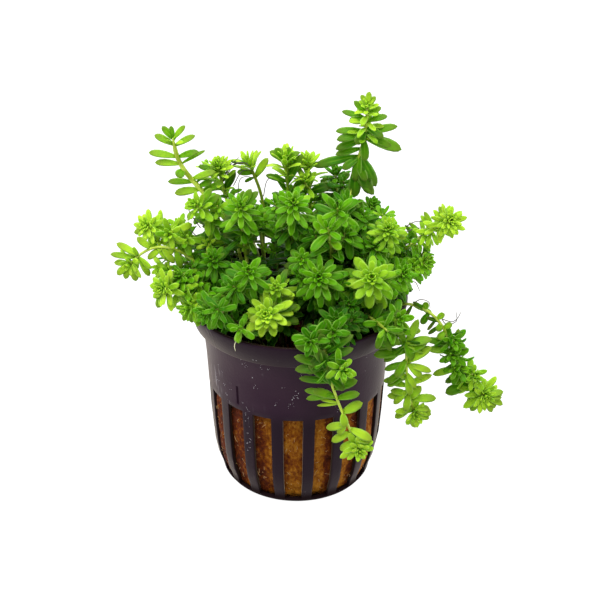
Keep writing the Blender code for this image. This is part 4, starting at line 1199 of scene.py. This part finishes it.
def add_leaves(bm, template, path, look, rng):
    """A rosette of close nodes at a stem's tip, and leaves at the nodes below it."""
    lengths = stem_lengths(path)
    frames = frames_along(path)
    light = Vector(look.light)
    face = Vector(look.face)
    turn = radians(look.turn) + rng.uniform(0, pi) * (look.turn == 0.0)
    for distance, size, opening in node_places(look, lengths[-1]):
        point, number = place_on(path, lengths, distance)
        if point.z < BARE_BELOW and hypot(point.x, point.y) < RIM_RADIUS:
            break
        side, across, forward = turned(frames[number], face * float(np.interp(distance, *FACE_FADE)))
        turn += pi / look.whorl + rng.normal(*NODE_TURN_DRAW)
        for k in range(look.whorl):
            angle = turn + 2 * pi * k / look.whorl + rng.normal(*LEAF_TURN_DRAW)
            radial = side * cos(angle) + across * sin(angle)
            open_angle = radians(look.spread * opening * rng.uniform(*SPREAD_RANGE))
            direction = forward * cos(open_angle) + radial * sin(open_angle)
            upper = forward * sin(open_angle) - radial * cos(open_angle) + light * opening
            direction = direction + DOWN * (look.droop * opening * rng.uniform(*DROOP_RANGE))
            leaf = grown_leaf(look, distance, size, opening, rng)
            base = point + radial * look.stem * 0.5
            direction = keep_off_pot(base, direction, leaf.length)
            way = direction.normalized() * leaf.length
            if not any(in_gap(base + way * share) for share in GAP_TESTS):
                add_leaf(bm, template, base, direction, upper, leaf)
            if opening == 1.0 and rng.uniform() < TUFT_CHANCE:
                add_tuft(bm, template, base, forward + radial * 0.9, look, rng)


def side_path(path, distance, way):
    """A side shoot's curve from a place on its stem to a tip that lies a given way off."""
    point, span = place_on(path, stem_lengths(path), distance)
    forward = frames_along(path)[span].col[2].to_3d()
    bend = point + way * 0.45 + (way.normalized() * 0.2 - forward * 0.2) * way.length
    return even_path(smooth_path([point, bend, point + way]), SIDE_SPACING)


def branch_ways(path, look, rng):
    """Where a stem's unnamed side shoots leave it, and the way to their tips."""
    ways = []
    lengths = stem_lengths(path)
    frames = frames_along(path)
    for number in range(look.branches):
        distance = BRANCH_PITCH * (number + 1) + rng.uniform(0.0, BRANCH_SHIFT)
        if distance > lengths[-1] - 2.0:
            break
        point, span = place_on(path, lengths, distance)
        if point.z < BARE_BELOW + 2.0:
            break
        side, across, forward = (frames[span].col[k].to_3d() for k in range(3))
        angle = rng.uniform(0, 2 * pi)
        way = side * cos(angle) + across * sin(angle)
        ways.append((distance, (forward * 1.1 + way * 0.9) * rng.uniform(*BRANCH_REACH)))
    return ways


def add_lone_leaf(bm, template, path, row, rng):
    """One leaf that stands out, from its row of the table."""
    distance, x, y, z, width, tone = row
    point, _ = place_on(path, stem_lengths(path), distance)
    way = Vector((x, y, z))
    leaf = Leaf(way.length, width * LONE_WIDER, curl=rng.uniform(*LONE_CURL), fold=0.2, twist=0.1,
                tone=max(tone - LONE_DARKER, DARKEST), tint=0.9 if tone <= 0.0 else 0.6)
    rise = -DOWN * (way.length * LONE_RISE)
    add_leaf(bm, template, point, way + rise, Vector((0.0, -0.8, 0.8)), leaf)


def add_shoot(bm, template, name, path, rng):
    """One shoot: its stem and side stems, then the leaves of each."""
    look = LOOKS.get(name, USUAL)
    # Unnamed side shoots are darker: painted shade for leaves inside the bush.
    small = look._replace(leaf=look.leaf * 0.86, width=look.width * 0.88, nodes=4, leafy=6.0,
                          low=1.0, clear=0.0, whorl=3, tone=look.tone - 0.12, turn=0.0)
    sides = [(side_path(path, distance, way), small)
             for distance, way in branch_ways(path, look, rng)]
    for distance, x, y, z, leaf, tone in SIDE_SHOOTS.get(name, ()):
        own = small._replace(leaf=leaf, width=leaf * 0.38, tone=tone, nodes=5, close=0.6)
        sides.append((side_path(path, distance, Vector((x, y, z))), own))
    tones = np.clip(stem_lengths(path) / STEM_RIPENS, 0.0, 1.0) * min(1.0, look.tone + 0.25)
    add_stem(bm, path, tones, look.stem)
    for side_stem, own in sides:
        add_stem(bm, side_stem, np.full(len(side_stem), own.tone + 0.1), look.stem * 0.75)
    for stem, own in [(path, look)] + sides:
        add_leaves(bm, template, stem, own, rng)
    for row in LONE_LEAVES.get(name, ()):
        add_lone_leaf(bm, template, path, row, rng)


def add_floor(scene):
    """A floor that glows white, so that it shows hardly any shadow."""
    bm = bmesh.new()
    bmesh.ops.create_grid(bm, x_segments=1, y_segments=1, size=FLOOR_SIZE)
    mesh = bpy.data.meshes.new("floor")
    bm.to_mesh(mesh)
    bm.free()
    floor = bpy.data.objects.new("floor", mesh)
    scene.collection.objects.link(floor)
    graph = Graph("floor")
    matt = graph.node("ShaderNodeBsdfDiffuse", {"Color": (0.15, 0.15, 0.15)})
    glow = graph.node("ShaderNodeEmission", {"Color": WHITE, "Strength": 0.97})
    mesh.materials.append(graph.surface(graph.node("ShaderNodeAddShader", {0: matt, 1: glow})))


def add_lights(scene):
    """A pale studio with an overhead lamp and three small ones round the plant."""
    world = bpy.data.worlds.new("studio")
    world.use_nodes = True
    background = world.node_tree.nodes["Background"]
    background.inputs["Color"].default_value = (*WHITE, 1.0)
    background.inputs["Strength"].default_value = 0.2
    scene.world = world
    for name, place, size, power in LAMPS:
        light = bpy.data.lights.new(name, "AREA")
        light.size = size
        light.energy = power
        lamp = bpy.data.objects.new(name, light)
        lamp.location = place
        aim = LAMP_TARGET - lamp.location
        lamp.rotation_euler = aim.to_track_quat("-Z", "Y").to_euler()
        scene.collection.objects.link(lamp)


def add_camera(scene, settings):
    """The camera, at the photograph's angle."""
    camera = bpy.data.cameras.new("camera")
    camera.sensor_width = 36.0
    camera.lens = settings.lens
    camera.clip_start = 0.01
    eye = bpy.data.objects.new("camera", camera)
    back = Vector((0.0, -cos(settings.elevation), sin(settings.elevation)))
    eye.location = CAMERA_TARGET + back * settings.distance
    roll = Quaternion((0.0, 0.0, 1.0), settings.roll)
    eye.rotation_euler = ((-back).to_track_quat("-Z", "Y") @ roll).to_euler()
    scene.collection.objects.link(eye)
    scene.camera = eye


def colour_property(name, description, default):
    """A colour that a user can change."""
    return FloatVectorProperty(name=name, description=description, subtype="COLOR", min=0.0,
                               max=1.0, default=default)


class RotalaPot(bpy.types.PropertyGroup):
    wall: FloatProperty(name="Wall", description="Thickness of the pot's wall", unit="LENGTH",
                        default=0.85 * MM, min=0.3 * MM, max=3.0 * MM, precision=5)
    plastic: colour_property("Plastic", "Colour of the moulded plastic", (0.0185, 0.0055, 0.0165))
    plastic_sheen: colour_property("Plastic sheen", "Warm haze at its edges", (0.8, 0.64, 0.44))
    plastic_worn: colour_property("Worn plastic", "Paler, rubbed places", (0.028, 0.012, 0.023))
    dust: colour_property("Dust", "Dust grains and rubbed scratches", (0.36, 0.34, 0.36))
    # Darker ribs, and painted shade on the collar under the leaves
    plastic_dark_and_shade: colour_property("Damp plastic", "Darker rim and ribs", (0.006, 0.0006, 0.006))
    wet_dirt: colour_property("Wet dirt", "Film on the inner side of the wall", (0.008, 0.003, 0.001))
    # Painted contact shadow round the foot
    foot_painted_shadow: colour_property("Foot film", "Matt dirt round the foot", (0.009, 0.004, 0.005))
    grains: IntProperty(name="Dust grains", description="Loose grains besides those that are placed",
                        default=70, min=0)


class RotalaWool(bpy.types.PropertyGroup):
    wool: colour_property("Wool", "Ochre of the wool", (0.20, 0.056, 0.001))
    # Dark red-brown grains, and painted shade behind the ribs
    wool_dark_and_shade: colour_property("Damp wool", "Red-brown hollows", (0.085, 0.013, 0.001))
    # Darkest painted shade behind the ribs
    wool_shade_black: colour_property("Black wool", "Wet wool behind the ribs", (0.035, 0.006, 0.001))
    wool_pale: colour_property("Pale wool", "Dry grains", (0.36, 0.14, 0.010))
    # Light grains, partly painted glints
    wool_speck_and_glint: colour_property("Specks", "Light grains caught in the wool", (0.55, 0.33, 0.14))
    wool_fibre: colour_property("Fibre", "Loose fibres on the wool", (0.42, 0.24, 0.08))
    fibres: IntProperty(name="Fibres", description="How many loose fibres lie in the slots",
                        default=200, min=0)


class RotalaFoliage(bpy.types.PropertyGroup):
    young_leaf: colour_property("Young leaf", "Yellow-green of new leaves", (0.5, 0.75, 0.036))
    grown_leaf: colour_property("Grown leaf", "Fresh green of full leaves", (0.118, 0.36, 0.003))
    shaded_leaf: colour_property("Shaded leaf", "Green of lower leaves", (0.027, 0.16, 0.001))
    old_leaf: colour_property("Old leaf", "Dark green of the oldest leaves", (0.0025, 0.036, 0.001))
    rib: colour_property("Rib", "Pale midrib", (0.36, 0.62, 0.04))
    # Pale leaf edge, partly a painted rim highlight
    margin: colour_property("Margin", "Pale edge of a leaf", (0.52, 0.8, 0.16))
    tip: colour_property("Tip", "Bronzed leaf tips", (0.13, 0.13, 0.025))
    light_through: colour_property("Light through", "Light through a leaf", (0.35, 0.68, 0.0))
    high_stem: colour_property("High stem", "Stem above the pot", (0.42, 0.56, 0.04))
    middle_stem: colour_property("Middle stem", "Stem at the rim", (0.18, 0.24, 0.03))
    low_stem: colour_property("Low stem", "Stem near the wool", (0.06, 0.04, 0.012))
    pale_strand: colour_property("White root", "Roots above the wool", (0.62, 0.60, 0.36))
    dark_strand: colour_property("Dark thread", "Wilted threads", (0.10, 0.085, 0.06))


class RotalaStage(bpy.types.PropertyGroup):
    elevation: FloatProperty(name="Elevation", description="Camera's angle above the floor",
                             default=radians(28.7), subtype="ANGLE")
    distance: FloatProperty(name="Distance", description="Camera's distance from its target",
                            default=0.3, unit="LENGTH")
    lens: FloatProperty(name="Lens", description="Focal length on a 36 mm sensor", default=72.5,
                        unit="CAMERA")
    roll: FloatProperty(name="Roll", description="Camera's turn about its own line of sight",
                        default=radians(0.4), subtype="ANGLE")


class ROTALA_OT_pot(bpy.types.Operator):
    """Build the slotted nursery pot"""

    bl_idname = "rotala.pot"
    bl_label = "Pot"

    def execute(self, context):
        settings = context.scene.rotala_pot
        bm = bmesh.new()
        pot_shell(bm, settings.wall / MM)
        add_piece("slotted_pot", bm, [pot_material(settings)], ["pot"], sharp=40.0)
        return {"FINISHED"}


class ROTALA_OT_dust(bpy.types.Operator):
    """Scatter dust grains on the pot's wall"""

    bl_idname = "rotala.dust"
    bl_label = "Dust Grains"

    def execute(self, context):
        settings = context.scene.rotala_pot
        bm = bmesh.new()
        dust_flecks(bm, settings.grains)
        add_piece("dust_grains", bm, [plain_material("dust", settings.dust, 0.7)])
        return {"FINISHED"}


class ROTALA_OT_wool_plug(bpy.types.Operator):
    """Build the mineral-wool plug"""

    bl_idname = "rotala.wool_plug"
    bl_label = "Wool Plug"

    def execute(self, context):
        bm = bmesh.new()
        wool_body(bm)
        mark_painted_shade(bm)
        material = wool_material(context.scene.rotala_wool)
        add_piece("wool", bm, [material], ["wool_plug"])
        return {"FINISHED"}


class ROTALA_OT_fibres(bpy.types.Operator):
    """Lay loose fibres on the wool in the slots"""

    bl_idname = "rotala.fibres"
    bl_label = "Wool Fibres"

    def execute(self, context):
        settings = context.scene.rotala_wool
        bm = bmesh.new()
        wool_fibres(bm, settings.fibres)
        material = plain_material("fibre", settings.wool_fibre, 0.35)
        add_piece("wool_fibres", bm, [material])
        return {"FINISHED"}


class ROTALA_OT_shoots(bpy.types.Operator):
    """Grow every leafy shoot along its stem's route"""

    bl_idname = "rotala.shoots"
    bl_label = "Shoots"

    def execute(self, context):
        settings = context.scene.rotala_foliage
        materials = [leaf_material(settings), stem_material(settings)]
        template = leaf_template()
        for number, (name, path) in enumerate(stem_paths().items()):
            bm = bmesh.new()
            bm.loops.layers.uv.new("leaf")
            bm.verts.layers.float.new("tone")
            bm.verts.layers.float.new("tip_tint")
            add_shoot(bm, template, name, path, np.random.default_rng(SHOOT_SEED + number))
            bmesh.ops.recalc_face_normals(bm, faces=bm.faces)
            add_piece("leafy_" + name, bm, materials, [name])
        bpy.data.meshes.remove(template)
        return {"FINISHED"}


class ROTALA_OT_strands(bpy.types.Operator):
    """Lay the white roots and the wilted threads"""

    bl_idname = "rotala.strands"
    bl_label = "Roots and Threads"

    def execute(self, context):
        settings = context.scene.rotala_foliage
        add_strands("white_roots", PALE_STRANDS, settings.pale_strand)
        add_strands("dark_threads", DARK_STRANDS, settings.dark_strand)
        return {"FINISHED"}


class ROTALA_OT_stage(bpy.types.Operator):
    """Set the floor, the light and the camera"""

    bl_idname = "rotala.stage"
    bl_label = "Stage"

    def execute(self, context):
        scene = context.scene
        add_floor(scene)
        add_lights(scene)
        add_camera(scene, scene.rotala_stage)
        scene.view_settings.view_transform = "Standard"
        return {"FINISHED"}


class ROTALA_PT_panel(bpy.types.Panel):
    """The steps that build the potted plant"""

    bl_idname = "ROTALA_PT_panel"
    bl_label = "Rotala in a Slotted Pot"
    bl_space_type = "VIEW_3D"
    bl_region_type = "UI"
    bl_category = "Rotala"

    def draw(self, context):
        for operator in OPERATORS:
            self.layout.operator(operator.bl_idname)


GROUPS = {"rotala_pot": RotalaPot, "rotala_wool": RotalaWool, "rotala_foliage": RotalaFoliage,
          "rotala_stage": RotalaStage}
OPERATORS = (ROTALA_OT_pot, ROTALA_OT_dust, ROTALA_OT_wool_plug, ROTALA_OT_fibres,
             ROTALA_OT_shoots, ROTALA_OT_strands, ROTALA_OT_stage)


def register():
    for item in (*GROUPS.values(), *OPERATORS, ROTALA_PT_panel):
        bpy.utils.register_class(item)
    for name, group in GROUPS.items():
        setattr(bpy.types.Scene, name, PointerProperty(type=group))


def unregister():
    for name in GROUPS:
        delattr(bpy.types.Scene, name)
    for item in (ROTALA_PT_panel, *reversed(OPERATORS), *reversed(GROUPS.values())):
        bpy.utils.unregister_class(item)


def main():
    register()
    bpy.ops.rotala.pot()
    bpy.ops.rotala.dust()
    bpy.ops.rotala.wool_plug()
    bpy.ops.rotala.fibres()
    bpy.ops.rotala.shoots()
    bpy.ops.rotala.strands()
    bpy.ops.rotala.stage()


if __name__ == "__main__":
    main()
